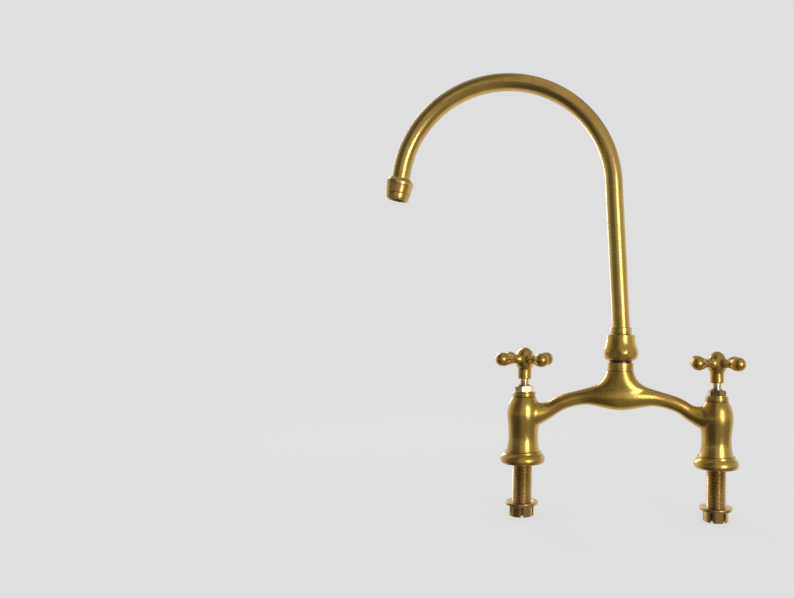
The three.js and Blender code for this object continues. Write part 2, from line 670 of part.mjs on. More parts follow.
// A spoke along +X: a slim neck that swells into a ball.
function spoke() {
  const height = skirtZ + SPOKE_HEIGHT;
  const tipX = SPOKE_BALL_REACH + SPOKE_BALL_RADIUS;
  const swell = (share) => SPOKE_NECK_RADIUS + share * (SPOKE_BALL_RADIUS - SPOKE_NECK_RADIUS);
  const between = (share) => SPOKE_NECK_REACH + share * (SPOKE_BALL_REACH - SPOKE_NECK_REACH);
  const past = (angle) => [
    SPOKE_BALL_REACH + Math.sin(radians(angle)) * (tipX - SPOKE_BALL_REACH),
    Math.cos(radians(angle)) * SPOKE_BALL_RADIUS,
  ];
  const stations = [
    [0.4 * HUB_RADIUS, 1.1 * SPOKE_ROOT_RADIUS],
    [0.95 * HUB_RADIUS, 0.96 * SPOKE_ROOT_RADIUS],
    [SPOKE_NECK_REACH, SPOKE_NECK_RADIUS],
    [between(0.33), swell(0.25)],
    [between(0.67), swell(0.75)],
    [SPOKE_BALL_REACH, SPOKE_BALL_RADIUS],
    past(40),
    past(72),
  ];
  return loft(stations.map(([x, radius]) => {
    return section(new THREE.Vector3(x, 0, height), yAxis, zAxis, radius, radius, SMALL);
  }));
}

const screwZ = skirtZ + SET_SCREW_HEIGHT;
const screwTip = BROACH_RADIUS + 2 * TURN_GAP;

// A rod along +X through the skirt wall, on the side away from the user.
function crossRod(radius, near, far, sides) {
  const points = [[0, near], [radius, near], [radius, far], [0, far]];
  const outline = points.map(([r, z]) => new THREE.Vector2(r, z));
  const geometry = new THREE.LatheGeometry(outline, sides);
  return solidOf(geometry.rotateZ(-Math.PI / 2).translate(0, 0, screwZ));
}

// One casting: skirt, domed hub and four ball-ended spokes, bored for the spindle.
function crossHandle() {
  const arm = spoke();
  const step = 360 / SPOKE_COUNT;
  const arms = Array.from({ length: SPOKE_COUNT }, (_, i) => arm.rotate([0, 0, i * step]));
  const guideBore = rod(SPINDLE_RADIUS + TURN_GAP, skirtZ - PAST, shoulderZ + TURN_GAP);
  const toothedBore = rod(BROACH_RADIUS + TURN_GAP, skirtZ, spindleTopZ);
  const outside = joined(turned(hubOutline()), ...arms);
  const holeRadius = SET_SCREW_RADIUS + THREAD_GAP;
  const screwHole = crossRod(holeRadius, BROACH_RADIUS - PAST, SKIRT_RADIUS + PAST, SMALL);
  return cut(outside, guideBore, toothedBore, screwHole);
}

// A headless screw with a hexagon socket.
function setScrew() {
  const far = SKIRT_RADIUS - SET_SCREW_INSET;
  const key = crossRod(SET_SCREW_KEY / Math.sqrt(3), far - SET_SCREW_SOCKET, far + PAST, 6);
  return cut(crossRod(SET_SCREW_RADIUS, screwTip, far, SMALL), key);
}

// ---- Swivel ----

// A bell-shaped nut with six oval wrench flats round its widest part.
function swivelNut() {
  const at = (radius, share) => new THREE.Vector2(radius, nutFootZ + share * SWIVEL_NUT_HEIGHT);
  const narrowing = (share) => SWIVEL_NUT_RADIUS + share * (SWIVEL_NUT_TOP_RADIUS - SWIVEL_NUT_RADIUS);
  const widening = (share) => {
    return SWIVEL_NUT_FOOT_RADIUS + share * (SWIVEL_NUT_RADIUS - SWIVEL_NUT_FOOT_RADIUS);
  };
  const path = new THREE.Path();
  path.moveTo(SWIVEL_NUT_FOOT_RADIUS - EASE, nutFootZ);
  path.splineThru([
    at(widening(0.48), 0.06),
    at(widening(0.8), 0.16),
    at(SWIVEL_NUT_RADIUS, 0.27),
    at(narrowing(0.12), 0.37),
    at(narrowing(0.43), 0.48),
    at(narrowing(0.69), 0.63),
    at(narrowing(0.93), 0.82),
    at(SWIVEL_NUT_TOP_RADIUS, 0.975),
  ]);
  path.lineTo(SWIVEL_NUT_TOP_RADIUS - CHAMFER, nutTopZ);
  const threadBore = NECK_STUB_RADIUS + THREAD_GAP;
  const tubeHole = TUBE_RADIUS + TURN_GAP + FACE_GAP;
  const outline = path.getPoints(1).map((p) => [p.x, p.y]);
  outline.push([tubeHole, nutTopZ], [tubeHole, nutLedgeZ], [threadBore, nutLedgeZ]);
  outline.push([threadBore, nutFootZ], outline[0]);
  const depth = SWIVEL_NUT_RADIUS + PAST - WRENCH_FLAT;
  const centre = [WRENCH_FLAT + depth / 2, 0, nutFootZ + 0.3 * SWIVEL_NUT_HEIGHT];
  const flats = Array.from({ length: 6 }, (_, i) => {
    return block(depth, SWIVEL_NUT_RADIUS, 0.8 * SWIVEL_NUT_HEIGHT, centre, radians(60 * i + 30));
  });
  return cut(turned(outline, FINE), ...flats);
}

function lowerSlipRing() {
  const inner = SPIGOT_RADIUS + FACE_GAP;
  return sleeve(inner, SPIGOT_FLANGE_RADIUS, stubTopZ, spigotFlangeZ);
}

function upperSlipRing() {
  const inner = TUBE_RADIUS + FACE_GAP;
  return sleeve(inner, SPIGOT_FLANGE_RADIUS, tubeFootZ, nutLedgeZ);
}

const spigotRingHeights = SPIGOT_O_RINGS.map((share) => stubTopZ - SPIGOT_LENGTH * (1 - share));

// The turned foot of the spout: ringed shank, flange, and a boss inside the tube.
function spoutSpigot() {
  const low = stubTopZ - SPIGOT_LENGTH;
  const half = SPIGOT_O_RING_SECTION / 2 + GROOVE_SIDE;
  const floor = NECK_BORE_RADIUS - SEAL_GAP - SPIGOT_O_RING_SECTION - GROOVE_FLOOR;
  const outline = [[SPIGOT_BORE_RADIUS, low], [SPIGOT_RADIUS - CHAMFER, low]];
  outline.push([SPIGOT_RADIUS, low + CHAMFER]);
  for (const z of spigotRingHeights) {
    outline.push([SPIGOT_RADIUS, z - half], [floor, z - half]);
    outline.push([floor, z + half], [SPIGOT_RADIUS, z + half]);
  }
  const bossRadius = TUBE_RADIUS - TUBE_WALL - BRAZE_GAP;
  outline.push([SPIGOT_RADIUS, spigotFlangeZ], [SPIGOT_FLANGE_RADIUS, spigotFlangeZ]);
  outline.push([SPIGOT_FLANGE_RADIUS, tubeFootZ], [bossRadius, tubeFootZ]);
  outline.push([bossRadius, tubeFootZ + SPIGOT_BOSS_HEIGHT]);
  outline.push([SPIGOT_BORE_RADIUS, tubeFootZ + SPIGOT_BOSS_HEIGHT], outline[0]);
  return turned(outline);
}

function spigotORing(height) {
  return oRing(NECK_BORE_RADIUS - SEAL_GAP, SPIGOT_O_RING_SECTION, height);
}

// The decorative ring at the foot of the tube.
function spoutCollar() {
  const inner = TUBE_RADIUS + BRAZE_GAP;
  return turned([
    [inner, collarZ],
    [COLLAR_RADIUS - EASE, collarZ],
    [COLLAR_RADIUS, collarZ + EASE],
    [COLLAR_RADIUS, bendZ - COLLAR_CHAMFER],
    [COLLAR_RADIUS - COLLAR_CHAMFER, bendZ],
    [inner, bendZ],
    [inner, collarZ],
  ]);
}

// ---- Spout ----

// The bent axis, in the plane y = 0, as points with the lean from the vertical at each.
function spoutAxis() {
  const stations = [{ x: 0, z: tubeFootZ, lean: 0 }];
  const straight = (length) => {
    const { x, z, lean } = stations.at(-1);
    stations.push({ x: x - length * Math.sin(lean), z: z + length * Math.cos(lean), lean });
  };
  const bend = (radius, sweep, steps) => {
    const start = stations.at(-1);
    const centreX = start.x - radius * Math.cos(start.lean);
    const centreZ = start.z - radius * Math.sin(start.lean);
    for (let i = 1; i <= steps; i++) {
      const lean = start.lean + (sweep * i) / steps;
      stations.push({ x: centreX + radius * Math.cos(lean), z: centreZ + radius * Math.sin(lean), lean });
    }
  };
  straight(bendZ - tubeFootZ);
  bend(RAKE_BEND_RADIUS, radians(TUBE_RAKE), 2);
  straight(TUBE_STRAIGHT);
  bend(ARCH_RADIUS, radians(ARCH_SWEEP), ARCH_STEPS);
  straight(TUBE_END);
  return stations;
}

// The bent pipe, open at both ends.
function spoutTube() {
  const stations = spoutAxis();
  const ring = ({ x, z, lean }, radius, sides) => {
    const across = new THREE.Vector3(Math.cos(lean), 0, Math.sin(lean));
    return section(new THREE.Vector3(x, 0, z), yAxis, across, radius, radius, sides);
  };
  const outside = loft(stations.map((station) => ring(station, TUBE_RADIUS, FINE)));
  const beyond = (station, distance) => ({
    x: station.x - distance * Math.sin(station.lean),
    z: station.z + distance * Math.cos(station.lean),
    lean: station.lean,
  });
  const inner = stations.slice(1, -1);
  inner.unshift(beyond(stations[0], -PAST));
  inner.push(beyond(stations.at(-1), PAST));
  const bore = loft(inner.map((station) => ring(station, TUBE_RADIUS - TUBE_WALL, ROUND)));
  return cut(outside, bore);
}

// ---- Outlet ----

// The shouldered socket brazed on the tube's end. Its foot is threaded inside.
function outletSocket() {
  const tubeBore = TUBE_RADIUS + BRAZE_GAP;
  const threadBore = SHELL_THREAD_RADIUS + THREAD_GAP;
  const shoulderTop = SOCKET_SHOULDER_START + SOCKET_SHOULDER_HEIGHT;
  return turned([
    [threadBore, socketCollarZ],
    [SOCKET_FOOT_RADIUS, socketCollarZ],
    [SOCKET_SHOULDER_RADIUS - EASE, SOCKET_SHOULDER_START],
    [SOCKET_SHOULDER_RADIUS, SOCKET_SHOULDER_START + CHAMFER],
    [SOCKET_SHOULDER_RADIUS, shoulderTop],
    [SOCKET_TOP_RADIUS, SOCKET_LENGTH - CHAMFER],
    [SOCKET_TOP_RADIUS - EASE, SOCKET_LENGTH],
    [tubeBore, SOCKET_LENGTH],
    [tubeBore, SOCKET_STOP + SOCKET_LEDGE],
    [WASHER_BORE_RADIUS, SOCKET_STOP + SOCKET_LEDGE],
    [WASHER_BORE_RADIUS, SOCKET_STOP],
    [threadBore, SOCKET_STOP],
    [threadBore, socketCollarZ],
  ]);
}

// The screwed ring that shows below the socket, with an inner lip that carries the insert.
function aeratorShell() {
  return turned([
    [SHELL_MOUTH_RADIUS, 0],
    [SHELL_FACE_RADIUS, 0],
    [SHELL_RIM_RADIUS, SHELL_RIM_HEIGHT],
    [SHELL_THREAD_RADIUS, SHELL_RIM_HEIGHT],
    [SHELL_THREAD_RADIUS, shellTop],
    [SHELL_BORE_RADIUS, shellTop],
    [SHELL_BORE_RADIUS, SHELL_LIP_START + SHELL_LIP_HEIGHT],
    [SHELL_LIP_RADIUS, SHELL_LIP_START + SHELL_LIP_HEIGHT],
    [SHELL_LIP_RADIUS, SHELL_LIP_START],
    [SHELL_MOUTH_RADIUS, 0],
  ]);
}

// A moulded disc of square cells that straightens the stream.
function aeratorInsert() {
  const radius = SHELL_BORE_RADIUS - FACE_GAP;
  const low = SHELL_LIP_START + SHELL_LIP_HEIGHT + FACE_GAP;
  const reach = Math.floor(radius / INSERT_PITCH);
  const middleZ = (low + shellTop) / 2;
  const cells = [];
  for (let column = -reach; column <= reach; column++) {
    for (let row = -reach; row <= reach; row++) {
      const [x, y] = [column * INSERT_PITCH, row * INSERT_PITCH];
      const corner = Math.hypot(Math.abs(x) + INSERT_CELL / 2, Math.abs(y) + INSERT_CELL / 2);
      if (corner > radius - INSERT_RIM) continue;
      cells.push(block(INSERT_CELL, INSERT_CELL, shellTop, [x, y, middleZ]));
    }
  }
  return cut(rod(radius, low, shellTop), ...cells);
}

function aeratorWasher() {
  const low = shellTop + FACE_GAP;
  return sleeve(WASHER_BORE_RADIUS, SHELL_THREAD_RADIUS - SEAL_GAP, low, low + WASHER_HEIGHT);
}

// ---- Materials ----

const brass = new THREE.MeshStandardMaterial({ color: 0x9a7b3c, roughness: 0.34, metalness: 1 });
const polishedBrass = new THREE.MeshStandardMaterial({ color: 0xc09a56, roughness: 0.2, metalness: 1 });
const rawBrass = new THREE.MeshStandardMaterial({ color: 0xa87a4e, roughness: 0.38, metalness: 1 });
const springSteel = new THREE.MeshStandardMaterial({ color: 0x8c8478, roughness: 0.3, metalness: 1 });
const ceramic = new THREE.MeshStandardMaterial({ color: 0xe9e6de, roughness: 0.25, metalness: 0 });
const rubber = new THREE.MeshStandardMaterial({ color: 0x1c1c1c, roughness: 0.7, metalness: 0 });
const nylon = new THREE.MeshStandardMaterial({ color: 0xe4e0d2, roughness: 0.5, metalness: 0 });
const darkPlastic = new THREE.MeshStandardMaterial({ color: 0x2b2d2c, roughness: 0.55, metalness: 0 });

function piece(name, solid, material) {
  const mesh = new THREE.Mesh(geometryOf(solid), material);
  mesh.name = name;
  return mesh;
}

function group(...children) {
  const made = new THREE.Group();
  made.add(...children);
  return made;
}

// ---- Assembly ----

// What stands on and hangs under one leg, about the leg's own axis.
function legSet(side, x, handleTurn, backnutTurn) {
  const fixed = group(
    piece(`${side}_tail`, tail(), rawBrass),
    piece(`${side}_backnut`, backnut(backnutTurn), rawBrass),
    piece(`${side}_valve_body`, valveBody(), polishedBrass),
    piece(`${side}_bonnet_o_ring`, bonnetORing(), rubber),
    piece(`${side}_seat_seal`, seatSeal(), rubber),
    piece(`${side}_fixed_disc`, fixedDisc(), ceramic),
  );
  const turning = group(
    piece(`${side}_moving_disc`, movingDisc(), ceramic),
    piece(`${side}_spindle`, spindle(), polishedBrass),
    piece(`${side}_spindle_o_ring`, spindleORing(), rubber),
    piece(`${side}_spindle_clip`, spindleClip(), springSteel),
  );
  const handle = group(
    piece(`${side}_handle`, crossHandle(), brass),
    piece(`${side}_set_screw`, setScrew(), springSteel),
  );
  handle.rotation.z = radians(handleTurn);
  const made = group(fixed, turning, handle);
  made.position.x = x;
  return made;
}

function swivelSet() {
  return group(
    piece("swivel_nut", swivelNut(), brass),
    piece("lower_slip_ring", lowerSlipRing(), nylon),
    piece("upper_slip_ring", upperSlipRing(), nylon),
    piece("spout_spigot", spoutSpigot(), rawBrass),
    piece("lower_spigot_o_ring", spigotORing(spigotRingHeights[0]), rubber),
    piece("upper_spigot_o_ring", spigotORing(spigotRingHeights[1]), rubber),
    piece("spout_collar", spoutCollar(), brass),
    piece("spout_tube", spoutTube(), brass),
  );
}

// The outlet's pieces share one axis, in line with the end of the tube.
function outletSet() {
  const end = spoutAxis().at(-1);
  const drop = SOCKET_STOP + SOCKET_LEDGE + FACE_GAP;
  const made = group(
    piece("outlet_socket", outletSocket(), brass),
    piece("aerator_shell", aeratorShell(), brass),
    piece("aerator_insert", aeratorInsert(), darkPlastic),
    piece("aerator_washer", aeratorWasher(), rubber),
  );
  made.position.set(end.x - drop * Math.sin(end.lean), 0, end.z + drop * Math.cos(end.lean));
  made.rotation.y = Math.PI - end.lean;
  return made;
}

export default group(
  piece("bridge_body", bridgeBody(), brass),
  legSet("left", -halfSpan, LEFT_HANDLE_TURN, LEFT_BACKNUT_TURN),
  legSet("right", halfSpan, RIGHT_HANDLE_TURN, RIGHT_BACKNUT_TURN),
  swivelSet(),
  outletSet(),
);
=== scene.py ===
"""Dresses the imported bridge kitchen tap: smooth castings, cut threads and aged brass.

Pieces are modelled in millimetres and brought to metres when they are settled. Z is up and z = 0
is the top face of the deck. X runs along the bridge and -Y faces the user.
"""

import logging
import math
from collections.abc import Callable, Iterable, Sequence
from dataclasses import dataclass
from enum import Enum

import bpy
import numpy as np
from mathutils import Matrix, Vector


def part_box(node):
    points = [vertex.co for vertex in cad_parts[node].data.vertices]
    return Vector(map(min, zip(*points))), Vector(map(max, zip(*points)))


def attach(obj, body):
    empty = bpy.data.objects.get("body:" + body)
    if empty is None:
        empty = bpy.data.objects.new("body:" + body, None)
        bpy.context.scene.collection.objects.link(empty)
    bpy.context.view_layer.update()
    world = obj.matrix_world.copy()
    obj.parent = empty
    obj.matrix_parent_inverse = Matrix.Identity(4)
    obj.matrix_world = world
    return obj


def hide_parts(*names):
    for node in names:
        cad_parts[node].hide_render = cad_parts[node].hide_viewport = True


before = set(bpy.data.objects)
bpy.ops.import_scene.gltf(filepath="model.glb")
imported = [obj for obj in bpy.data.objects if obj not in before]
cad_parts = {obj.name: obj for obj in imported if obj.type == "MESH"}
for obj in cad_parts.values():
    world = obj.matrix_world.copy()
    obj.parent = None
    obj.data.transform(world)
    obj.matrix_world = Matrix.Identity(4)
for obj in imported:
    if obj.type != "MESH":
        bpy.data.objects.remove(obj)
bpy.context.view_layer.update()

log = logging.getLogger("tap")

Piece = bpy.types.Object
Point = tuple[float, float]
Place = tuple[float, float, float]
Colour = tuple[float, float, float]
Feed = bpy.types.NodeSocket | Colour | float

MM = 0.001  # one millimetre in metres
HALF_SPAN = 101.6  # from the middle of the bridge to a leg's axis
WELD = 1e-4  # points that are nearer to each other than this are merged
TURN_STEPS = 128  # facets round a turned piece
FINE_TURN_STEPS = 192
NOISE_ROUGHNESS = 0.55


class Side(Enum):
    """The two legs. The value is the sign of a leg's place along X."""

    LEFT = -1
    RIGHT = 1

    @property
    def word(self) -> str:
        """The side's name as the nodes and bodies spell it."""
        return self.name.lower()

    @property
    def foot_place(self) -> Place:
        """Where the leg's axis meets the deck, in millimetres."""
        return (self.value * HALF_SPAN, 0, 0)


class Cut(Enum):
    """How one closed mesh is combined with another."""

    AWAY = "DIFFERENCE"
    COMMON = "INTERSECT"
    JOINED = "UNION"


class Slot(Enum):
    """The record's material slots."""

    CAST = "cast_brass"
    DRAWN = "drawn_brass"
    POLISHED = "polished_brass"
    RAW = "raw_brass"
    STEEL = "spring_steel"
    CERAMIC = "ceramic"
    RUBBER = "rubber"
    NYLON = "nylon"
    PLASTIC = "dark_plastic"


# Each side's turns in degrees, as the photograph shows them: first backnut slot, hexagon, handle.
REST_TURNS: dict[Side, tuple[float, float, float]] = {
    Side.LEFT: (39, -8.6, 42.5),
    Side.RIGHT: (3, 7.5, 39.5),
}


# ---- Outlines ----


def through(points: Sequence[Sequence[float]], steps: int = 6) -> list[Vector]:
    """Runs a smooth curve through points.

    Args:
        points: The points, in two or three dimensions.
        steps: The number of stretches between one point and the next.

    Returns:
        Points along the curve, with the given points among them.
    """
    knots = [Vector(point) for point in points]
    along = [0.0]
    for start, end in zip(knots, knots[1:]):
        along.append(along[-1] + (end - start).length)

    def slope(index: int) -> Vector:
        """The direction of the curve at a knot."""
        before, after = max(index - 1, 0), min(index + 1, len(knots) - 1)
        return (knots[after] - knots[before]) / (along[after] - along[before])

    curve = [knots[0]]
    for index in range(len(knots) - 1):
        gap = along[index + 1] - along[index]
        for step in range(1, steps + 1):
            t = step / steps
            curve.append(
                knots[index] * (2 * t**3 - 3 * t**2 + 1)
                + slope(index) * gap * (t**3 - 2 * t**2 + t)
                + knots[index + 1] * (3 * t**2 - 2 * t**3)
                + slope(index + 1) * gap * (t**3 - t**2)
            )
    return curve


def eased(corners: Sequence[Sequence[float]], steps: int = 4) -> list[Point]:
    """Rounds the corners of an outline.

    Args:
        corners: (radius, height) or (radius, height, ease), where ease is the length of each side
            that the rounding takes up.
        steps: The number of stretches in a rounded corner.

    Returns:
        The outline's points.
    """
    places = [Vector(corner[:2]) for corner in corners]
    outline: list[Point] = []
    for index, corner in enumerate(corners):
        here = places[index]
        ease = corner[2] if len(corner) > 2 else 0.0
        if not ease or index in (0, len(corners) - 1):
            outline.append(tuple(here))
            continue
        start = here + (places[index - 1] - here).normalized() * ease
        end = here + (places[index + 1] - here).normalized() * ease
        for step in range(steps + 1):
            t = step / steps
            outline.append(tuple(start * (1 - t) ** 2 + here * (2 * t * (1 - t)) + end * t**2))
    return outline


# ---- Workbench ----


def clear_selection() -> None:
    """Leaves edit mode and deselects everything."""
    if bpy.context.mode != "OBJECT":
        bpy.ops.object.mode_set(mode="OBJECT")
    bpy.ops.object.select_all(action="DESELECT")


def pick(*pieces: Piece) -> None:
    """Selects pieces alone and makes the first one active.

    Args:
        *pieces: The pieces.
    """
    clear_selection()
    for piece in pieces:
        piece.select_set(True)
    bpy.context.view_layer.objects.active = pieces[0]


def open_all(piece: Piece) -> None:
    """Opens a piece in edit mode with all of it selected.

    Args:
        piece: The piece.
    """
    pick(piece)
    bpy.ops.object.mode_set(mode="EDIT")
    bpy.ops.mesh.select_mode(type="VERT")
    bpy.ops.mesh.select_all(action="SELECT")


def weld(piece: Piece) -> None:
    """Merges doubled points and turns the faces outwards.

    Args:
        piece: The piece.
    """
    open_all(piece)
    bpy.ops.mesh.remove_doubles(threshold=WELD)
    bpy.ops.mesh.normals_make_consistent(inside=False)
    bpy.ops.object.mode_set(mode="OBJECT")


def apply_all(piece: Piece) -> None:
    """Applies a piece's modifiers in order.

    Args:
        piece: The piece.
    """
    pick(piece)
    for modifier in list(piece.modifiers):
        bpy.ops.object.modifier_apply(modifier=modifier.name)


def place(piece: Piece, at: Sequence[float] = (0, 0, 0), turn: Sequence[float] = (0, 0, 0)) -> Piece:
    """Moves a piece and turns it, and applies both to its mesh.

    Args:
        piece: The piece.
        at: Where its origin goes.
        turn: Its turns about X, Y and Z, in degrees.

    Returns:
        The same piece.
    """
    pick(piece)
    piece.location = at
    piece.rotation_euler = [math.radians(angle) for angle in turn]
    bpy.ops.object.transform_apply(location=True, rotation=True, scale=True)
    return piece


def copied(piece: Piece, name: str) -> Piece:
    """Copies a piece with a mesh of its own.

    Args:
        piece: The piece to copy.
        name: The copy's name.

    Returns:
        The copy.
    """
    pick(piece)
    bpy.ops.object.duplicate(linked=False)
    twin = bpy.context.active_object
    twin.name = name
    return twin


def together(*pieces: Piece) -> Piece:
    """Joins pieces into the first one without combining their shells.

    Args:
        *pieces: The pieces. All but the first are used up.

    Returns:
        The first piece.
    """
    pick(*pieces)
    bpy.ops.object.join()
    return pieces[0]


def drawn(name: str, outline: Sequence[Sequence[float]]) -> Piece:
    """Draws an outline as a chain of edges in the plane y = 0.

    Args:
        name: The new piece's name.
        outline: (radius, height) pairs.

    Returns:
        The chain.
    """
    clear_selection()
    bpy.ops.mesh.primitive_plane_add(size=1)
    piece = bpy.context.active_object
    piece.name = name
    bpy.ops.object.mode_set(mode="EDIT")
    bpy.ops.mesh.select_mode(type="VERT")
    bpy.ops.mesh.select_all(action="SELECT")
    bpy.ops.mesh.merge(type="CENTER")
    bpy.ops.transform.translate(value=(outline[0][0], 0, outline[0][1]))
    for start, end in zip(outline, outline[1:]):
        step = (end[0] - start[0], 0, end[1] - start[1])
        bpy.ops.mesh.extrude_vertices_move(TRANSFORM_OT_translate={"value": step})
    bpy.ops.object.mode_set(mode="OBJECT")
    return piece


def turned(name: str, outline: Sequence[Sequence[float]], steps: int = TURN_STEPS) -> Piece:
    """Turns an outline round the Z axis.

    Args:
        name: The new piece's name.
        outline: (radius, height) pairs. The outline ends on the axis or closes on itself.
        steps: The number of facets round the axis.

    Returns:
        The closed piece.
    """
    piece = drawn(name, outline)
    open_all(piece)
    bpy.ops.mesh.remove_doubles(threshold=WELD)
    bpy.ops.mesh.select_all(action="SELECT")
    bpy.ops.mesh.spin(steps=steps, angle=2 * math.pi, center=(0, 0, 0), axis=(0, 0, 1))
    weld(piece)
    return piece


def bar(name: str, radius: float, low: float, high: float, steps: int = TURN_STEPS) -> Piece:
    """Turns a plain round bar along Z."""
    return turned(name, [(0, low), (radius, low), (radius, high), (0, high)], steps)


def box(size: Sequence[float], middle: Sequence[float], turn: float = 0) -> Piece:
    """Makes a box.

    Args:
        size: Its size along X, Y and Z before it is turned.
        middle: Where its middle goes.
        turn: Its turn about Z, in degrees.

    Returns:
        The box.
    """
    clear_selection()
    bpy.ops.mesh.primitive_cube_add(size=1)
    piece = bpy.context.active_object
    piece.scale = size
    return place(piece, middle, (0, 0, turn))


def combined(piece: Piece, tool: Piece, how: Cut) -> Piece:
    """Combines a closed piece with another closed one, which is used up.

    Args:
        piece: The piece that is changed.
        tool: The other one.
        how: What is done with the two.

    Returns:
        The changed piece.

    Raises:
        RuntimeError: The cut changed nothing, so one of the two isn't closed.
    """
    before = len(piece.data.vertices)
    modifier = piece.modifiers.new("Combine", "BOOLEAN")
    modifier.operation = how.value
    modifier.solver = "MANIFOLD"
    modifier.object = tool
    apply_all(piece)
    bpy.data.objects.remove(tool)
    if len(piece.data.vertices) == before:
        raise RuntimeError(f"{piece.name} and its tool aren't both closed")
    return piece


def chamfered(piece: Piece, width: float, angle: float, segments: int = 2) -> Piece:
    """Breaks the sharp edges of a piece.

    Args:
        piece: The piece.
        width: How far the break reaches from an edge.
        angle: Edges sharper than this, in degrees, are broken.
        segments: The number of faces across a break.

    Returns:
        The same piece.
    """
    modifier = piece.modifiers.new("Edges", "BEVEL")
    modifier.width = width
    modifier.segments = segments
    modifier.limit_method = "ANGLE"
    modifier.angle_limit = math.radians(angle)
    modifier.use_clamp_overlap = True
    apply_all(piece)
    return piece


def blended(piece: Piece, voxel: float, rounds: int) -> Piece:
    """Melts overlapping shells into one skin of even facets and smooths it.

    Args:
        piece: The piece with the shells.
        voxel: The size of a facet.
        rounds: How often the smoothing is repeated.

    Returns:
        The same piece.
    """
    remesh = piece.modifiers.new("Melt", "REMESH")
    remesh.mode = "VOXEL"
    remesh.voxel_size = voxel
    apply_all(piece)
    smooth_where(piece, rounds, lambda points: np.ones(len(points), bool))
    return piece


def smooth_where(piece: Piece, rounds: int, chosen: Callable[[np.ndarray], np.ndarray]) -> None:
    """Smooths the points of a piece that a test picks.

    Args:
        piece: The piece.
        rounds: How often the smoothing is repeated.
        chosen: Takes all points as rows of x, y and z and returns a mask.
    """
    pick(piece)
    vertices = piece.data.vertices
    points = np.empty(len(vertices) * 3)
    vertices.foreach_get("co", points)
    mask = chosen(points.reshape(-1, 3))
    for parts in (piece.data.polygons, piece.data.edges):
        parts.foreach_set("select", np.zeros(len(parts), bool))
    vertices.foreach_set("select", mask)
    bpy.ops.object.mode_set(mode="EDIT")
    bpy.ops.mesh.select_mode(type="VERT")
    bpy.ops.mesh.vertices_smooth(factor=0.5, repeat=rounds)
    bpy.ops.object.mode_set(mode="OBJECT")


# ---- Finishes ----


class Graph:
    """A node tree, with short ways to add and link nodes."""

    def __init__(self, tree: bpy.types.NodeTree, place: str = "Object") -> None:
        """Takes a tree and the texture coordinates that its textures use."""
        self.tree = tree
        self.place = tree.nodes.new("ShaderNodeTexCoord").outputs[place]

    def node(self, kind: str, **settings: object) -> bpy.types.Node:
        """Adds a node.

        Args:
            kind: Blender's name for the kind of node.
            **settings: Properties to set on it.

        Returns:
            The node.
        """
        made = self.tree.nodes.new(kind)
        for key, value in settings.items():
            setattr(made, key, value)
        return made

    def link(self, source: Feed, target: bpy.types.NodeSocket) -> None:
        """Feeds a socket.

        Args:
            source: Another socket, a number or a colour.
            target: The socket that is fed.
        """
        if isinstance(source, bpy.types.NodeSocket):
            self.tree.links.new(source, target)
        elif isinstance(source, tuple):
            target.default_value = (*source, 1)
        else:
            target.default_value = source

    def noise(self, scale: float, detail: float) -> bpy.types.NodeSocket:
        """Adds cloudy noise.

        Args:
            scale: The number of clouds in a metre.
            detail: How many finer layers it has.

        Returns:
            The noise, from 0 to 1.
        """
        cloud = self.node("ShaderNodeTexNoise")
        cloud.inputs["Scale"].default_value = scale
        cloud.inputs["Detail"].default_value = detail
        cloud.inputs["Roughness"].default_value = NOISE_ROUGHNESS
        self.link(self.place, cloud.inputs["Vector"])
        return cloud.outputs["Fac"]

    def spread(
        self, source: Feed, low: Feed, high: Feed, start: float = 0.35, end: float = 0.65
    ) -> bpy.types.NodeSocket:
        """Maps a value to a range with soft ends.

        Args:
            source: The value.
            low: What the value becomes at start and before it.
            high: What the value becomes at end and past it.
            start: Where the change begins.
            end: Where the change ends.

        Returns:
            The mapped value.
        """
        node = self.node("ShaderNodeMapRange", interpolation_type="SMOOTHSTEP")
        feeds = {"Value": source, "From Min": start, "From Max": end, "To Min": low, "To Max": high}
        for key, feed in feeds.items():
            self.link(feed, node.inputs[key])
        return node.outputs["Result"]

    def math(self, kind: str, first: Feed, second: Feed = 0.0) -> bpy.types.NodeSocket:
        """Combines two values with a math node.

        Args:
            kind: The operation.
            first: The first value.
            second: The second value, where the operation has one.

        Returns:
            The result.
        """
        node = self.node("ShaderNodeMath", operation=kind)
        self.link(first, node.inputs[0])
        self.link(second, node.inputs[1])
        return node.outputs[0]

    def mixed(self, share: Feed, first: Feed, second: Feed) -> bpy.types.NodeSocket:
        """Mixes two colours.

        Args:
            share: The second colour's share, from 0 to 1.
            first: The first colour.
            second: The second colour.

        Returns:
            The mixed colour.
        """
        node = self.node("ShaderNodeMix", data_type="RGBA")
        self.link(share, node.inputs["Factor"])
        self.link(first, node.inputs[6])
        self.link(second, node.inputs[7])
        return node.outputs[2]

    def relief(self, *layers: tuple[bpy.types.NodeSocket, float]) -> bpy.types.NodeSocket:
        """Stacks bumps.

        Args:
            *layers: Each bump's height and its depth in millimetres.

        Returns:
            The bent normal.
        """
        normal = None
        for height, depth in layers:
            node = self.node("ShaderNodeBump")
            node.inputs["Strength"].default_value = 1
            node.inputs["Distance"].default_value = depth * MM
            self.link(height, node.inputs["Height"])
            if normal:
                self.link(normal, node.inputs["Normal"])
            normal = node.outputs["Normal"]
        return normal


def new_material(name: str) -> tuple[bpy.types.Material, Graph, bpy.types.Node]:
    """Starts a material.

    Args:
        name: The material's name.

    Returns:
        The material, its graph and its Principled shader.
    """
    material = bpy.data.materials.new(name)
    material.use_nodes = True
    return material, Graph(material.node_tree), material.node_tree.nodes["Principled BSDF"]


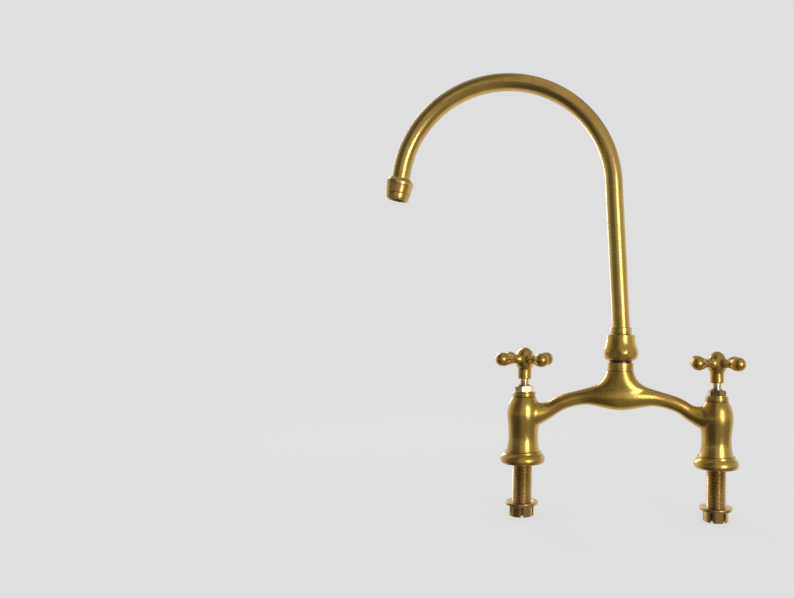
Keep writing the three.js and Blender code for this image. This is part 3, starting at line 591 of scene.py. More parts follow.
@dataclass(frozen=True)
class Brass:
    """Bare brass that has gone brown in soft clouds, with rubbed spots and a fine grain."""

    name: str
    fresh: Colour
    tarnished: Colour
    stain: Colour
    gloss: Point
    cloud: float = 60
    grain: float = 0.0012
    waviness: float = 0.012
    spots_per_cloud: float = 4.1
    stain_share: float = 0.55
    stain_edge: Point = (0.5, 0.78)
    wave_scale: float = 110
    grain_scale: float = 1900
    sheen: float = 0.8
    sheen_roughness: float = 0.3
    sheen_ior: float = 1.5
    # Colour of the painted shade in creases, in the gap under the swivel nut and in thread roots.
    dirt: Colour = (0.06, 0.036, 0.014)

    def painted_shade(self, graph: Graph) -> bpy.types.NodeSocket | None:
        """Gives where shade is painted into the colour, from 0 to 1, or None for a finish without any."""
        return None

    def material(self) -> bpy.types.Material:
        """Builds the node material.

        Returns:
            The material.
        """
        material, graph, shader = new_material(self.name)
        clouds = graph.noise(self.cloud, 5)
        spots = graph.noise(self.cloud * self.spots_per_cloud, 5)
        base = graph.mixed(graph.spread(clouds, 0.0, 1.0), self.fresh, self.tarnished)
        stains = graph.spread(spots, 0.0, self.stain_share, *self.stain_edge)
        surface = graph.mixed(stains, base, self.stain)
        # Painted shade: darkens the colour in creases, gaps or thread roots, where a finish paints shade.
        painted_shade = self.painted_shade(graph)
        if painted_shade:
            surface = graph.mixed(painted_shade, surface, self.dirt)
        wear = graph.math("ADD", graph.math("MULTIPLY", clouds, 0.6), graph.math("MULTIPLY", spots, 0.4))
        layers = (
            (graph.noise(self.wave_scale, 2), self.waviness),
            (graph.noise(self.grain_scale, 2), self.grain),
        )
        shader.inputs["Metallic"].default_value = 1
        graph.link(surface, shader.inputs["Base Color"])
        graph.link(graph.spread(wear, *self.gloss), shader.inputs["Roughness"])
        graph.link(graph.relief(*layers), shader.inputs["Normal"])
        shader.inputs["Coat Weight"].default_value = self.sheen
        shader.inputs["Coat Roughness"].default_value = self.sheen_roughness
        shader.inputs["Coat IOR"].default_value = self.sheen_ior
        return material


@dataclass(frozen=True)
class CastingBrass(Brass):
    """The bridge's brass, with shade painted into its creases and onto the stub under the swivel nut. Sizes
    in millimetres.
    """

    leg_creases: Point = (12.7, 69.5)
    neck_crease: float = 99.2
    under_nut: float = 107.6
    legs_from: float = 85
    line_share: float = 0.55
    line_edge: Point = (0.15, 0.65)

    def painted_shade(self, graph: Graph) -> bpy.types.NodeSocket:
        """Paints shade: dark lines in the creases of the legs and the neck, and a dark stub under the
        swivel nut.

        Args:
            graph: The material's graph.

        Returns:
            Where the painted shade is, from 0 to 1.
        """
        axes = graph.node("ShaderNodeSeparateXYZ")
        graph.link(graph.place, axes.inputs[0])
        x, _, z = axes.outputs
        height = graph.math("MULTIPLY", z, 1 / MM)
        at_legs = graph.math("GREATER_THAN", graph.math("ABSOLUTE", x), self.legs_from * MM)
        lines = []
        # Painted shade along each crease.
        for crease in (*self.leg_creases, self.neck_crease):
            away = graph.math("ABSOLUTE", graph.math("SUBTRACT", height, crease))
            lines.append(graph.spread(away, self.line_share, 0.0, *self.line_edge))
        low, high, neck = lines
        legs = graph.math("MULTIPLY", graph.math("MAXIMUM", low, high), at_legs)
        # Painted shade on the stub in the gap under the swivel nut.
        stub = graph.spread(height, 0.0, 1.0, self.under_nut - 0.1, self.under_nut + 0.2)
        return graph.math("MAXIMUM", graph.math("MAXIMUM", legs, neck), stub)


@dataclass(frozen=True)
class ThreadBrass(Brass):
    """Raw brass with shade painted into the roots of its thread. Sizes in millimetres."""

    axis: float = HALF_SPAN
    root: Point = (9.5, 10.2)
    root_share: float = 0.6

    def painted_shade(self, graph: Graph) -> bpy.types.NodeSocket:
        """Paints shade into the thread between its crests, by the distance from the tail's axis.

        Args:
            graph: The material's graph.

        Returns:
            Where the painted shade is, from 0 to 1.
        """
        axes = graph.node("ShaderNodeSeparateXYZ")
        graph.link(graph.place, axes.inputs[0])
        x, y, _ = axes.outputs
        across = graph.math("SUBTRACT", graph.math("ABSOLUTE", x), self.axis * MM)
        squares = graph.math("ADD", graph.math("POWER", across, 2.0), graph.math("POWER", y, 2.0))
        low, high = self.root
        # Painted shade in the thread roots, darkest nearest the axis.
        return graph.spread(graph.math("SQRT", squares), self.root_share, 0.0, low * MM, high * MM)


@dataclass(frozen=True)
class Plain:
    """A finish without brass in it: steel, ceramic, rubber or plastic."""

    name: str
    colour: Colour
    shade: Colour
    gloss: Point
    metal: float = 0.0
    grain: float = 0.002
    cloud: float = 220
    grain_scale: float = 2600

    def material(self) -> bpy.types.Material:
        """Builds the node material.

        Returns:
            The material.
        """
        material, graph, shader = new_material(self.name)
        clouds = graph.noise(self.cloud, 5)
        surface = graph.mixed(graph.spread(clouds, 0.0, 1.0), self.colour, self.shade)
        shader.inputs["Metallic"].default_value = self.metal
        graph.link(surface, shader.inputs["Base Color"])
        graph.link(graph.spread(clouds, *self.gloss), shader.inputs["Roughness"])
        graph.link(graph.relief((graph.noise(self.grain_scale, 3), self.grain)), shader.inputs["Normal"])
        return material


AGED_GLOSS = (0.22, 0.32)
CAST_TONES = ((0.64, 0.42, 0.065), (0.52, 0.325, 0.04), (0.36, 0.2, 0.028))
DRAWN_TONES = ((0.66, 0.445, 0.1), (0.56, 0.36, 0.07), (0.4, 0.24, 0.05))
BRIGHT_TONES = ((0.78, 0.57, 0.27), (0.68, 0.46, 0.18), (0.5, 0.31, 0.1))
RAW_TONES = ((0.7, 0.47, 0.14), (0.58, 0.36, 0.09), (0.42, 0.25, 0.07))
THREAD_TONES = ((0.78, 0.53, 0.15), (0.64, 0.42, 0.1), (0.48, 0.29, 0.07))
AS_MACHINED = {"gloss": (0.18, 0.28), "cloud": 90, "grain": 0.001, "waviness": 0.004}

FINISHES: dict[Slot, Brass | Plain] = {
    Slot.CAST: Brass("aged_cast_brass", *CAST_TONES, AGED_GLOSS, cloud=55),
    Slot.DRAWN: Brass("aged_drawn_brass", *DRAWN_TONES, AGED_GLOSS, cloud=40, grain=0.0008, waviness=0.006),
    Slot.POLISHED: Brass(
        "bright_turned_brass", *BRIGHT_TONES, (0.1, 0.2), cloud=110, grain=0.0006, waviness=0.002
    ),
    Slot.RAW: Brass("machined_brass", *RAW_TONES, **AS_MACHINED),
    Slot.STEEL: Plain("dull_spring_steel", (0.46, 0.41, 0.33), (0.34, 0.29, 0.21), (0.3, 0.42), metal=1.0),
    Slot.CERAMIC: Plain("lapped_ceramic", (0.82, 0.8, 0.74), (0.76, 0.74, 0.68), (0.2, 0.3), grain=0.004),
    Slot.RUBBER: Plain("black_rubber", (0.02, 0.02, 0.02), (0.035, 0.034, 0.033), (0.5, 0.7), grain=0.02),
    Slot.NYLON: Plain("natural_nylon", (0.76, 0.73, 0.64), (0.68, 0.64, 0.54), (0.4, 0.55), grain=0.01),
    Slot.PLASTIC: Plain("dark_plastic_mesh", (0.03, 0.032, 0.03), (0.055, 0.055, 0.05), (0.35, 0.55)),
}
CASTING = CastingBrass("aged_bridge_casting", *CAST_TONES, AGED_GLOSS, cloud=55)
THREAD = ThreadBrass("threaded_brass", *THREAD_TONES, **AS_MACHINED)
_materials: dict[str, bpy.types.Material] = {}


def finish_for(finish: Brass | Plain) -> bpy.types.Material:
    """Gives a finish's material, which is made the first time it is asked for.

    Args:
        finish: The finish.

    Returns:
        Its material.
    """
    if finish.name not in _materials:
        _materials[finish.name] = finish.material()
    return _materials[finish.name]


def settle(
    piece: Piece, node: str, body: str, slot: Slot, smooth: float = 30, finish: Brass | None = None
) -> Piece:
    """Brings a piece to metres, finishes it and puts it in its node's place.

    Args:
        piece: The finished shape in millimetres.
        node: The CAD node that it stands for.
        body: The CAD body that it moves with.
        slot: The record's slot for its material.
        smooth: Edges sharper than this angle in degrees stay sharp.
        finish: A finish of its own, where the slot's general one isn't enough.

    Returns:
        The settled piece.
    """
    pick(piece)
    piece.scale = (MM, MM, MM)
    bpy.ops.object.transform_apply(location=True, rotation=True, scale=True)
    bpy.ops.object.shade_smooth_by_angle(angle=math.radians(smooth))
    piece.name = f"{node}_dressed"
    piece.data.name = piece.name
    piece.data.materials.clear()
    piece.data.materials.append(finish_for(finish or FINISHES[slot]))
    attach(piece, body)
    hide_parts(node)
    report_fit(piece, node)
    return piece


def report_fit(piece: Piece, node: str) -> None:
    """Logs a piece's size and how far it stands out of its node's box, in millimetres.

    Args:
        piece: The settled piece.
        node: The CAD node that it stands for.
    """
    low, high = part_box(node)
    points = np.empty(len(piece.data.vertices) * 3)
    piece.data.vertices.foreach_get("co", points)
    points = points.reshape(-1, 3)
    out = max(max(low[i] - points[:, i].min(), points[:, i].max() - high[i]) for i in range(3))
    short = max(max(points[:, i].min() - low[i], high[i] - points[:, i].max()) for i in range(3))
    faces = sum(len(face.vertices) - 2 for face in piece.data.polygons)
    log.info("%-28s %7d triangles, out %.2f, short %.2f", node, faces, out / MM, short / MM)


# ---- Bridge casting ----


@dataclass
class BridgeCasting:
    """The one casting of two baluster legs, the arched arms between them and the flared neck."""

    leg_height: float = 74
    rim_radius: float = 12.2
    step_height: float = 12.7
    collar_foot: float = 69.5
    root_height: float = 49
    arm_rise: float = 22.5
    arm_radius: float = 7.8
    root_radius: float = 12.2
    belly_radius: float = 13.3
    neck_radius: float = 13.9
    flare_top: float = 102.9
    flare_radius: float = 22
    neck_top: float = 107.5
    stub_radius: float = 12
    stub_top: float = 118
    neck_bore: float = 8.5
    waterway: float = 3.75
    voxel: float = 0.72
    melt_loss: float = 0.2
    melt_rounds: int = 6
    ring_height: float = 99.2
    ring_depth: float = 0.35
    calm_rounds: int = 6
    calm_reaches: tuple[Point, ...] = ((86, 98), (82, 97), (78, 96), (60, 95), (54, 94), (48, 93))
    joint_rounds: int = 10
    joint_radii: tuple[float, ...] = (14, 12.5, 11, 9.5)
    joint_centre: Point = (88, 58)
    joint_floor: float = 47
    joint_gap: float = 5
    leg_way: tuple[Point, ...] = (
        (0, -2), (10.6, -2), (10.6, 13), (5.5, 13), (5.5, 43.4), (8.45, 43.4), (8.45, 76), (0, 76)
    )
    arm_rises: tuple[Point, ...] = (
        (0, 0.96), (0.2, 1), (0.345, 0.98), (0.53, 0.79), (0.63, 0.61), (0.75, 0.29), (0.9, 0.07), (0.98, 0)
    )

    def leg(self, side: Side) -> Piece:
        """Turns one leg's waist and shoulder, too long at both ends.

        Args:
            side: The leg's side.

        Returns:
            The leg, standing at its place.
        """
        waist = through(
            [
                (18.9, 10.4), (17.9, 12.9), (17.0, 15.6), (16.4, 19), (15.8, 23.5), (15.6, 28),
                (15.9, 34), (16.7, 41), (17.4, 47.5), (17.4, 53), (16.7, 58.5), (15.3, 63.2),
                (13.6, 66.8), (12.1, 69.3),
            ],
            4,
        )
        leg = turned(f"leg_{side.word}", [(0, 10), (18.9, 10), *waist, (11.9, 70.5), (11.9, 72), (0, 72)])
        return place(leg, side.foot_place)

    def foot(self) -> Piece:
        """Turns the round foot and its step, up to where the leg stands on it.

        Returns:
            The foot, about its own axis.
        """
        rim = eased([(0, 0), (21.6, 0, 1.2), (22.9, 1.4, 0.6)])[:-1]
        edge = through([(22.6, 0.8), (23.45, 2.9), (23.3, 5.8), (22.1, 8.3), (20.2, 10.2)], 5)
        top = self.step_height
        step = eased([(19.7, 10.6), (19.6, top - 0.2, 0.4), (17, top), (16, 15), (0, 15)])
        return turned("foot", [*rim, *edge, *step])

    def collar(self) -> Piece:
        """Turns the collar at the head of a leg.

        Returns:
            The collar, about its own axis.
        """
        radius, low, high = self.rim_radius, self.collar_foot, self.leg_height
        return turned(
            "collar",
            eased(
                [
                    (0, low - 2), (radius - 1, low - 2), (radius - 1, low - 0.3), (radius - 0.2, low),
                    (radius, low + 0.35, 0.2), (radius, high - 0.4, 0.3), (radius - 0.5, high), (0, high),
                ]
            ),
        )

    def neck_ring(self) -> Piece:
        """Turns the plain band at the head of the neck, with the stub that carries the swivel nut.

        Returns:
            The band and the stub.
        """
        radius, stub, low = self.neck_radius, self.stub_radius, self.ring_height
        return turned(
            "ring",
            eased(
                [
                    (0, low - 3), (radius - 1, low - 3), (radius - 1, low - 0.3), (radius, low),
                    (radius, self.neck_top, 0.45), (stub, self.neck_top), (stub, self.stub_top - 0.5, 0.3),
                    (stub - 0.6, self.stub_top), (0, self.stub_top),
                ]
            ),
        )

    def neck_groove(self) -> Piece:
        """Turns the cutter of the fine groove under the band.

        Returns:
            The cutter.
        """
        outside, inside, height = self.neck_radius + 1, self.neck_radius - self.ring_depth, self.ring_height
        return turned(
            "groove",
            [
                (outside, height - 0.6), (outside, height + 0.6), (inside, height + 0.1),
                (inside, height - 0.1), (outside, height - 0.6),
            ],
        )

    def arm_radius_at(self, x: float) -> float:
        """Gives the arm's radius, which swells under the neck and where it runs into a leg.

        Args:
            x: The distance from the middle of the bridge.

        Returns:
            The radius there, with what the melt takes off added.
        """

        def swell(share: float) -> float:
            """Falls smoothly from 1 to 0 while the share goes from 0 to 1."""
            return 0.5 + 0.5 * math.cos(math.pi * min(max(share, 0), 1))

        belly = swell(x / (0.48 * HALF_SPAN)) * (self.belly_radius - self.arm_radius)
        root = swell((0.92 * HALF_SPAN - x) / (0.25 * HALF_SPAN)) * (self.root_radius - self.arm_radius)
        return self.arm_radius + belly + root + self.melt_loss

    def arm_axis(self) -> list[Vector]:
        """Draws the arms' axis, from the left leg to the right one.

        Returns:
            Points along it.
        """
        low = self.root_height
        half = [(share * HALF_SPAN, 0, low + rise * self.arm_rise) for share, rise in self.arm_rises]
        mirrored = [(-x, y, z) for x, y, z in reversed(half[1:])]
        return through([*mirrored, *half], steps=12)

    def sweep(self, name: str, radius_at: Callable[[float], float], trim: int = 0) -> Piece:
        """Sweeps a round section along the arms' axis.

        Args:
            name: The new piece's name.
            radius_at: Gives the radius for a distance from the middle.
            trim: How many points are left off at each end of the axis.

        Returns:
            The closed sweep.
        """
        clear_selection()
        bpy.ops.curve.primitive_bezier_curve_add()
        piece = bpy.context.active_object
        piece.name = name
        curve = piece.data
        curve.splines.clear()
        axis = self.arm_axis()[trim:-trim or None]
        spline = curve.splines.new("POLY")
        spline.points.add(len(axis) - 1)
        for knot, centre in zip(spline.points, axis):
            knot.co = (*centre, 1)
            knot.radius = radius_at(abs(centre.x))
        curve.bevel_depth = 1
        curve.bevel_resolution = 14
        curve.use_fill_caps = True
        bpy.ops.object.convert(target="MESH")
        weld(piece)
        return piece

    def neck(self) -> Piece:
        """Draws the neck, which flares in the plane of the bridge and dies away inside the belly.

        Returns:
            The neck.
        """
        levels: list[tuple[float, float, float]] = [(self.neck_top, self.neck_radius, self.neck_radius)]
        for step in range(13):
            share = 0.985 * math.sin(math.pi / 2 * step / 12)
            drop = share * self.flare_radius
            spread = self.flare_radius - math.sqrt(self.flare_radius**2 - drop**2)
            depth = self.neck_radius - 1.0 * share**3
            levels.append((self.flare_top - drop, self.neck_radius + spread, depth))
        levels += [(79.5, 30, 12.9), (77, 25, 13), (74, 18, 13), (71.5, 13.5, 13)]
        clear_selection()
        top, across, deep = levels[0]
        bpy.ops.mesh.primitive_circle_add(
            vertices=TURN_STEPS, radius=across, fill_type="NGON", location=(0, 0, top)
        )
        piece = bpy.context.active_object
        piece.name = "neck"
        place(piece, (0, 0, top))
        open_all(piece)
        for z, next_across, next_deep in levels[1:]:
            bpy.ops.mesh.extrude_region_move(TRANSFORM_OT_translate={"value": (0, 0, z - top)})
            scale = (next_across / across, next_deep / deep, 1)
            bpy.ops.transform.resize(value=scale, center_override=(0, 0, z))
            top, across, deep = z, next_across, next_deep
        weld(piece)
        return piece

    def calm(self, body: Piece) -> None:
        """Smooths the arms, more round the neck and above the leg joints, in steps that fade out.

        Args:
            body: The melted casting.
        """
        for reach, height in self.calm_reaches:
            smooth_where(
                body,
                self.calm_rounds,
                lambda points: (np.abs(points[:, 0]) < reach) & (points[:, 2] < height),
            )
        for around in self.joint_radii:
            smooth_where(body, self.joint_rounds, lambda points: self.above_joint(points, around))

    def above_joint(self, points: np.ndarray, around: float) -> np.ndarray:
        """Picks the points above the joint of arm and leg, whose underside stays crisp.

        Args:
            points: All points, as rows of x, y and z.
            around: How far from the joint's centre the pick reaches.

        Returns:
            A mask over the points.
        """
        x, z = np.abs(points[:, 0]), points[:, 2]
        centre_x, centre_z = self.joint_centre
        near = np.hypot(x - centre_x, z - centre_z) < around
        return near & (x < HALF_SPAN - self.joint_gap) & (z > self.joint_floor)

    def trim(self, body: Piece) -> None:
        """Cuts the melted ends square, where the turned feet, collars and neck band take over.

        Args:
            body: The melted casting.
        """
        past = 60
        ends = ((-past, self.step_height - 0.1), (self.collar_foot - 0.2, self.collar_foot + past))
        for side in Side:
            for low, high in ends:
                slab = box((past, past, high - low), (side.value * HALF_SPAN, 0, (low + high) / 2))
                combined(body, slab, Cut.AWAY)
        slab = box((past, past, past), (0, 0, self.ring_height - 0.1 + past / 2))
        combined(body, slab, Cut.AWAY)

    def build(self) -> Piece:
        """Builds the casting, with its waterways bored out.

        Returns:
            The settled casting.
        """
        arms = self.sweep("arms", self.arm_radius_at)
        body = together(arms, self.neck(), *(self.leg(side) for side in Side))
        blended(body, self.voxel, self.melt_rounds)
        self.calm(body)
        self.trim(body)
        ends = [self.neck_ring()]
        for side in Side:
            ends += [place(end, side.foot_place) for end in (self.foot(), self.collar())]
        for end in ends:
            combined(body, end, Cut.JOINED)
        combined(body, self.neck_groove(), Cut.AWAY)
        legs = [place(turned("way", self.leg_way), side.foot_place) for side in Side]
        bores = together(*legs, bar("bore", self.neck_bore, 67.75, 119))
        combined(body, bores, Cut.AWAY)
        combined(body, self.sweep("waterway", lambda _: self.waterway, trim=4), Cut.AWAY)
        return settle(body, "bridge_body", "bridge", Slot.CAST, finish=CASTING)


# ---- Tails and backnuts ----


@dataclass
class TailSet:
    """A threaded tail and the slotted backnut that runs on it."""

    side: Side
    first_slot: float
    thread_radius: float = 10.45
    thread_depth: float = 0.95
    pitch: float = 1.814
    seam: float = 0.005
    bore: float = 7.5
    low: float = -53.6
    high: float = 13
    flange_radius: float = 17.2
    collar_radius: float = 13.2
    nut_low: float = -54.4
    nut_high: float = -40
    flange_height: float = 3
    slot_width: float = 2.8
    slot_depth: float = 10.4

    def thread(self) -> Piece:
        """Winds a rod with a helical thread of rounded crests, as long as the tail.

        Returns:
            The rod.
        """
        root = self.thread_radius - self.thread_depth
        tooth = [(0, 0), (0.12, 0.03), (0.44, 0.92), (0.5, 1.0), (0.56, 0.92), (0.88, 0.03), (1, 0)]
        outline = [(root + self.thread_depth * height, share * self.pitch) for share, height in tooth]
        piece = drawn("thread", outline)
        turns = math.ceil((self.high - self.low) / self.pitch) + 3
        screw = piece.modifiers.new("Thread", "SCREW")
        screw.screw_offset = self.pitch
        screw.iterations = turns
        screw.steps = screw.render_steps = 64
        screw.use_normal_calculate = True
        apply_all(piece)
        place(piece, (0, 0, self.low - self.pitch))
        open_all(piece)
        bpy.ops.mesh.remove_doubles(threshold=self.seam)
        for height, below in ((self.low + 0.01, True), (self.high - 0.01, False)):
            bpy.ops.mesh.select_all(action="SELECT")
            bpy.ops.mesh.bisect(
                plane_co=(0, 0, height), plane_no=(0, 0, 1), use_fill=True,
                clear_inner=below, clear_outer=not below,
            )
        weld(piece)
        return piece

    def tail(self) -> Piece:
        """Builds the tail: its thread with chamfered ends and a plain bore.

        Returns:
            The settled tail.
        """
        outer, ease = self.thread_radius + 0.02, 1.1
        blank = turned(
            "blank",
            [
                (self.bore, self.low), (self.bore + 0.5, self.low), (outer - ease, self.low),
                (outer, self.low + ease), (outer, self.high - ease), (outer - ease, self.high),
                (self.bore, self.high), (self.bore, self.low),
            ],
        )
        piece = combined(blank, self.thread(), Cut.COMMON)
        place(piece, self.side.foot_place)
        return settle(piece, f"{self.side.word}_tail", "bridge", Slot.RAW, smooth=50, finish=THREAD)

    def backnut(self) -> Piece:
        """Builds the backnut: a thin flange over a collar with six narrow slots.

        Returns:
            The settled nut.
        """
        bore = self.thread_radius + 0.15
        under = self.nut_high - self.flange_height
        outline = eased(
            [
                (bore + 0.6, self.nut_low), (self.collar_radius, self.nut_low, 0.7),
                (self.collar_radius, under, 0.4), (self.flange_radius, under, 0.5),
                (self.flange_radius, self.nut_high, 0.6), (bore + 0.9, self.nut_high),
                (bore, self.nut_high - 0.9), (bore, self.nut_low + 0.6), (bore + 0.6, self.nut_low),
            ]
        )
        piece = turned("nut", outline)
        for turn in (0, 60, 120):
            size = (2 * self.collar_radius + 2, self.slot_width, self.slot_depth + 2)
            middle = (0, 0, self.nut_low + self.slot_depth / 2 - 1)
            combined(piece, box(size, middle, self.first_slot + turn), Cut.AWAY)
        chamfered(piece, width=0.18, angle=50)
        place(piece, self.side.foot_place)
        return settle(piece, f"{self.side.word}_backnut", f"{self.side.word}_backnut", Slot.RAW)

    def build(self) -> None:
        """Builds both pieces."""
        self.tail()
        self.backnut()


# ---- Quarter-turn valves ----


@dataclass
class Headwork:
    """What shows of a quarter-turn valve: its body, the spindle and the clip."""

    side: Side
    hex_turn: float
    rim: float = 74
    flange_radius: float = 11.2
    flange_top: float = 75.3
    across_flats: float = 17
    hex_top: float = 81
    hex_depth: float = 8
    spindle_radius: float = 4.45
    clip_radius: float = 6.3
    clip_bore: float = 3.95
    clip_gap: float = 5.32

    def valve_body(self) -> Piece:
        """Builds the hexagon on its flange, with the sleeve that goes down into the leg.

        Returns:
            The settled valve body.
        """
        half = self.across_flats / 2
        corner = half / math.cos(math.pi / 6)
        clear_selection()
        bpy.ops.mesh.primitive_cylinder_add(vertices=6, radius=corner, depth=self.hex_depth)
        middle = (0, 0, self.hex_top - self.hex_depth / 2)
        hexagon = place(bpy.context.active_object, middle, (0, 0, self.hex_turn))
        shape = turned(
            "chamfer",
            eased(
                [
                    (0, 72), (corner + 1, 72), (corner + 1, self.flange_top - 0.2),
                    (corner - 0.6, self.flange_top), (corner + 0.2, self.flange_top + 0.5),
                    (corner + 0.2, self.hex_top - 1.2), (half - 0.3, self.hex_top, 0.15), (0, self.hex_top),
                ]
            ),
        )
        combined(hexagon, shape, Cut.COMMON)
        flange = turned(
            "flange",
            eased(
                [
                    (0, 44), (7.6, 44, 0.3), (7.6, 62), (8.3, 62.4), (8.3, 72.4), (6.9, 72.4),
                    (6.9, self.rim), (self.flange_radius, self.rim, 0.3),
                    (self.flange_radius, self.flange_top, 0.4), (corner - 1.4, self.flange_top + 0.02),
                    (0, self.flange_top + 0.02),
                ]
            ),
        )
        piece = combined(hexagon, flange, Cut.JOINED)
        chamfered(piece, width=0.16, angle=40)
        bore = turned(
            "bore", [(0, 43), (6.6, 43), (6.6, 55.1), (4.6, 55.1), (4.6, 80.6), (5.1, 81.2), (0, 81.2)]
        )
        combined(piece, bore, Cut.AWAY)
        place(piece, self.side.foot_place)
        return settle(piece, f"{self.side.word}_valve_body", "bridge", Slot.POLISHED)

    def spindle(self) -> Piece:
        """Builds the stem, with its driver and lugs, ring groove, clip groove and plain top.

        Returns:
            The settled spindle.
        """
        radius = self.spindle_radius
        outline = eased(
            [
                (0, 51.8), (6.2, 51.8, 0.2), (6.2, 54.8, 0.2), (radius, 54.8), (radius, 65.3), (3.3, 65.3),
                (3.3, 66.7), (radius, 66.7), (radius, 81.05), (3.85, 81.05), (3.85, 82.25), (radius, 82.25),
                (radius, 91.7, 0.15), (4, 92), (4, 106.9), (3.4, 107.5), (0, 107.5),
            ]
        )
        stem = turned("spindle", outline, 72)
        for way in (-1, 1):
            combined(stem, box((1.2, 2.6, 2.4), (way * 5.3, 0, 51.6)), Cut.JOINED)
        place(stem, self.side.foot_place)
        return settle(stem, f"{self.side.word}_spindle", f"{self.side.word}_handle", Slot.POLISHED)

    def clip(self) -> Piece:
        """Builds the open spring ring on the spindle, its gap to the right.

        Returns:
            The settled clip.
        """
        low, high, inner = self.hex_top + 0.15, self.hex_top + 1.15, self.clip_bore
        outline = eased(
            [
                (inner, low), (self.clip_radius, low, 0.15), (self.clip_radius, high, 0.15), (inner, high),
                (inner, low),
            ]
        )
        piece = turned("clip", outline)
        combined(piece, box((8, self.clip_gap, 4), (7, 0, low)), Cut.AWAY)
        place(piece, self.side.foot_place)
        return settle(piece, f"{self.side.word}_spindle_clip", f"{self.side.word}_handle", Slot.STEEL)

    def build(self) -> None:
        """Builds the three pieces."""
        self.valve_body()
        self.spindle()
        self.clip()


# ---- Cross handles ----


@dataclass
class CrossHandle:
    """One casting of skirt, domed hub and four ball-ended spokes, with its set screw."""

    side: Side
    rest_turn: float
    skirt_low: float = 88.3
    skirt_radius: float = 7.15
    spoke_height: float = 109
    ball_radius: float = 7.25
    ball_reach: float = 29
    hub_top: float = 121.6
    screw_height: float = 95.6
    voxel: float = 0.42
    melt_rounds: int = 3
    joint_rounds: int = 55
    joint_reach: Point = (6.5, 14.5)
    joint_height: Point = (100, 117)

    def hub_outline(self) -> list[Point]:
        """Draws the outline of the skirt and the dome that it flares into.

        Returns:
            (radius, height) pairs.
        """
        radius, low = self.skirt_radius, self.skirt_low
        skirt = eased([(0, low), (radius, low, 0.35), (radius, 98.4)])
        dome = through(
            [
                (7.2, 98.9), (7.6, 99.8), (8.4, 100.8), (9.4, 102), (10.1, 103.7), (10.45, 106),
                (10.4, 108.6), (10.05, 111.2), (9.5, 113.6), (8.7, 115.6), (7.5, 117.4), (6.05, 118.9),
                (4.4, 120.2), (2.3, 121.25), (0, self.hub_top),
            ],
            3,
        )
        return [*skirt, *dome]

    def spoke(self) -> Piece:
        """Turns one spoke: a slim neck that swells into a ball.

        Returns:
            The spoke, along +X.
        """
        radius, reach = self.ball_radius, self.ball_reach
        swell = through(
            [
                (5.9, 3), (5.5, 9.5), (4.75, 12.4), (4.25, 15), (4.35, 17.4), (5.1, 20), (6.2, 22.9),
                (7.0, 26), (radius, reach),
            ],
            4,
        )
        ball = [
            (radius * math.cos(angle), reach + radius * math.sin(angle))
            for angle in np.linspace(0, math.pi / 2, 13)[1:]
        ]
        spoke = turned("spoke", [(0, 3), *swell, *ball], 72)
        return place(spoke, (0, 0, self.spoke_height), (0, 90, 0))

    def near_hub(self, points: np.ndarray) -> np.ndarray:
        """Picks the points where the spokes run into the hub.

        Args:
            points: All points, as rows of x, y and z.

        Returns:
            A mask over the points.
        """
        reach, height = np.hypot(points[:, 0], points[:, 1]), points[:, 2]
        (inner, outer), (low, high) = self.joint_reach, self.joint_height
        return (reach > inner) & (reach < outer) & (height > low) & (height < high)

    def casting(self) -> Piece:
        """Casts the handle, bored for the spindle and the set screw.

        Returns:
            The handle, about its own axis.
        """
        spokes = [self.spoke()]
        for turn in (90, 180, 270):
            spokes.append(place(copied(spokes[0], f"spoke_{turn}"), turn=(0, 0, turn)))
        body = together(turned("hub", self.hub_outline()), *spokes)
        blended(body, self.voxel, self.melt_rounds)
        smooth_where(body, self.joint_rounds, self.near_hub)
        bore = turned("bore", [(0, 87), (4.6, 87), (4.6, 92.15), (4.15, 92.15), (4.15, 107.5), (0, 107.5)])
        combined(body, bore, Cut.AWAY)
        hole = place(bar("hole", 2.05, 3, 10, steps=32), (0, 0, self.screw_height), (0, 90, 0))
        return combined(body, hole, Cut.AWAY)

    def set_screw(self) -> Piece:
        """Turns the headless screw with its hexagon socket.

        Returns:
            The screw, in the hole along +X.
        """
        outline = eased([(0, 4.25), (1.4, 4.25), (1.9, 4.75, 0.1), (1.9, 6.85, 0.2), (0, 6.85)])
        screw = turned("screw", outline, 48)
        clear_selection()
        bpy.ops.mesh.primitive_cylinder_add(vertices=6, radius=1.15, depth=3, location=(0, 0, 6.95))
        key = bpy.context.active_object
        combined(screw, key, Cut.AWAY)
        return place(screw, (0, 0, self.screw_height), (0, 90, 0))

    def build(self) -> None:
        """Builds the handle and its screw at their rest turn."""
        at, turn = self.side.foot_place, (0, 0, self.rest_turn)
        body = f"{self.side.word}_handle"
        settle(place(self.casting(), at, turn), body, body, Slot.CAST)
        settle(place(self.set_screw(), at, turn), f"{self.side.word}_set_screw", body, Slot.STEEL)


# ---- Swivel ----


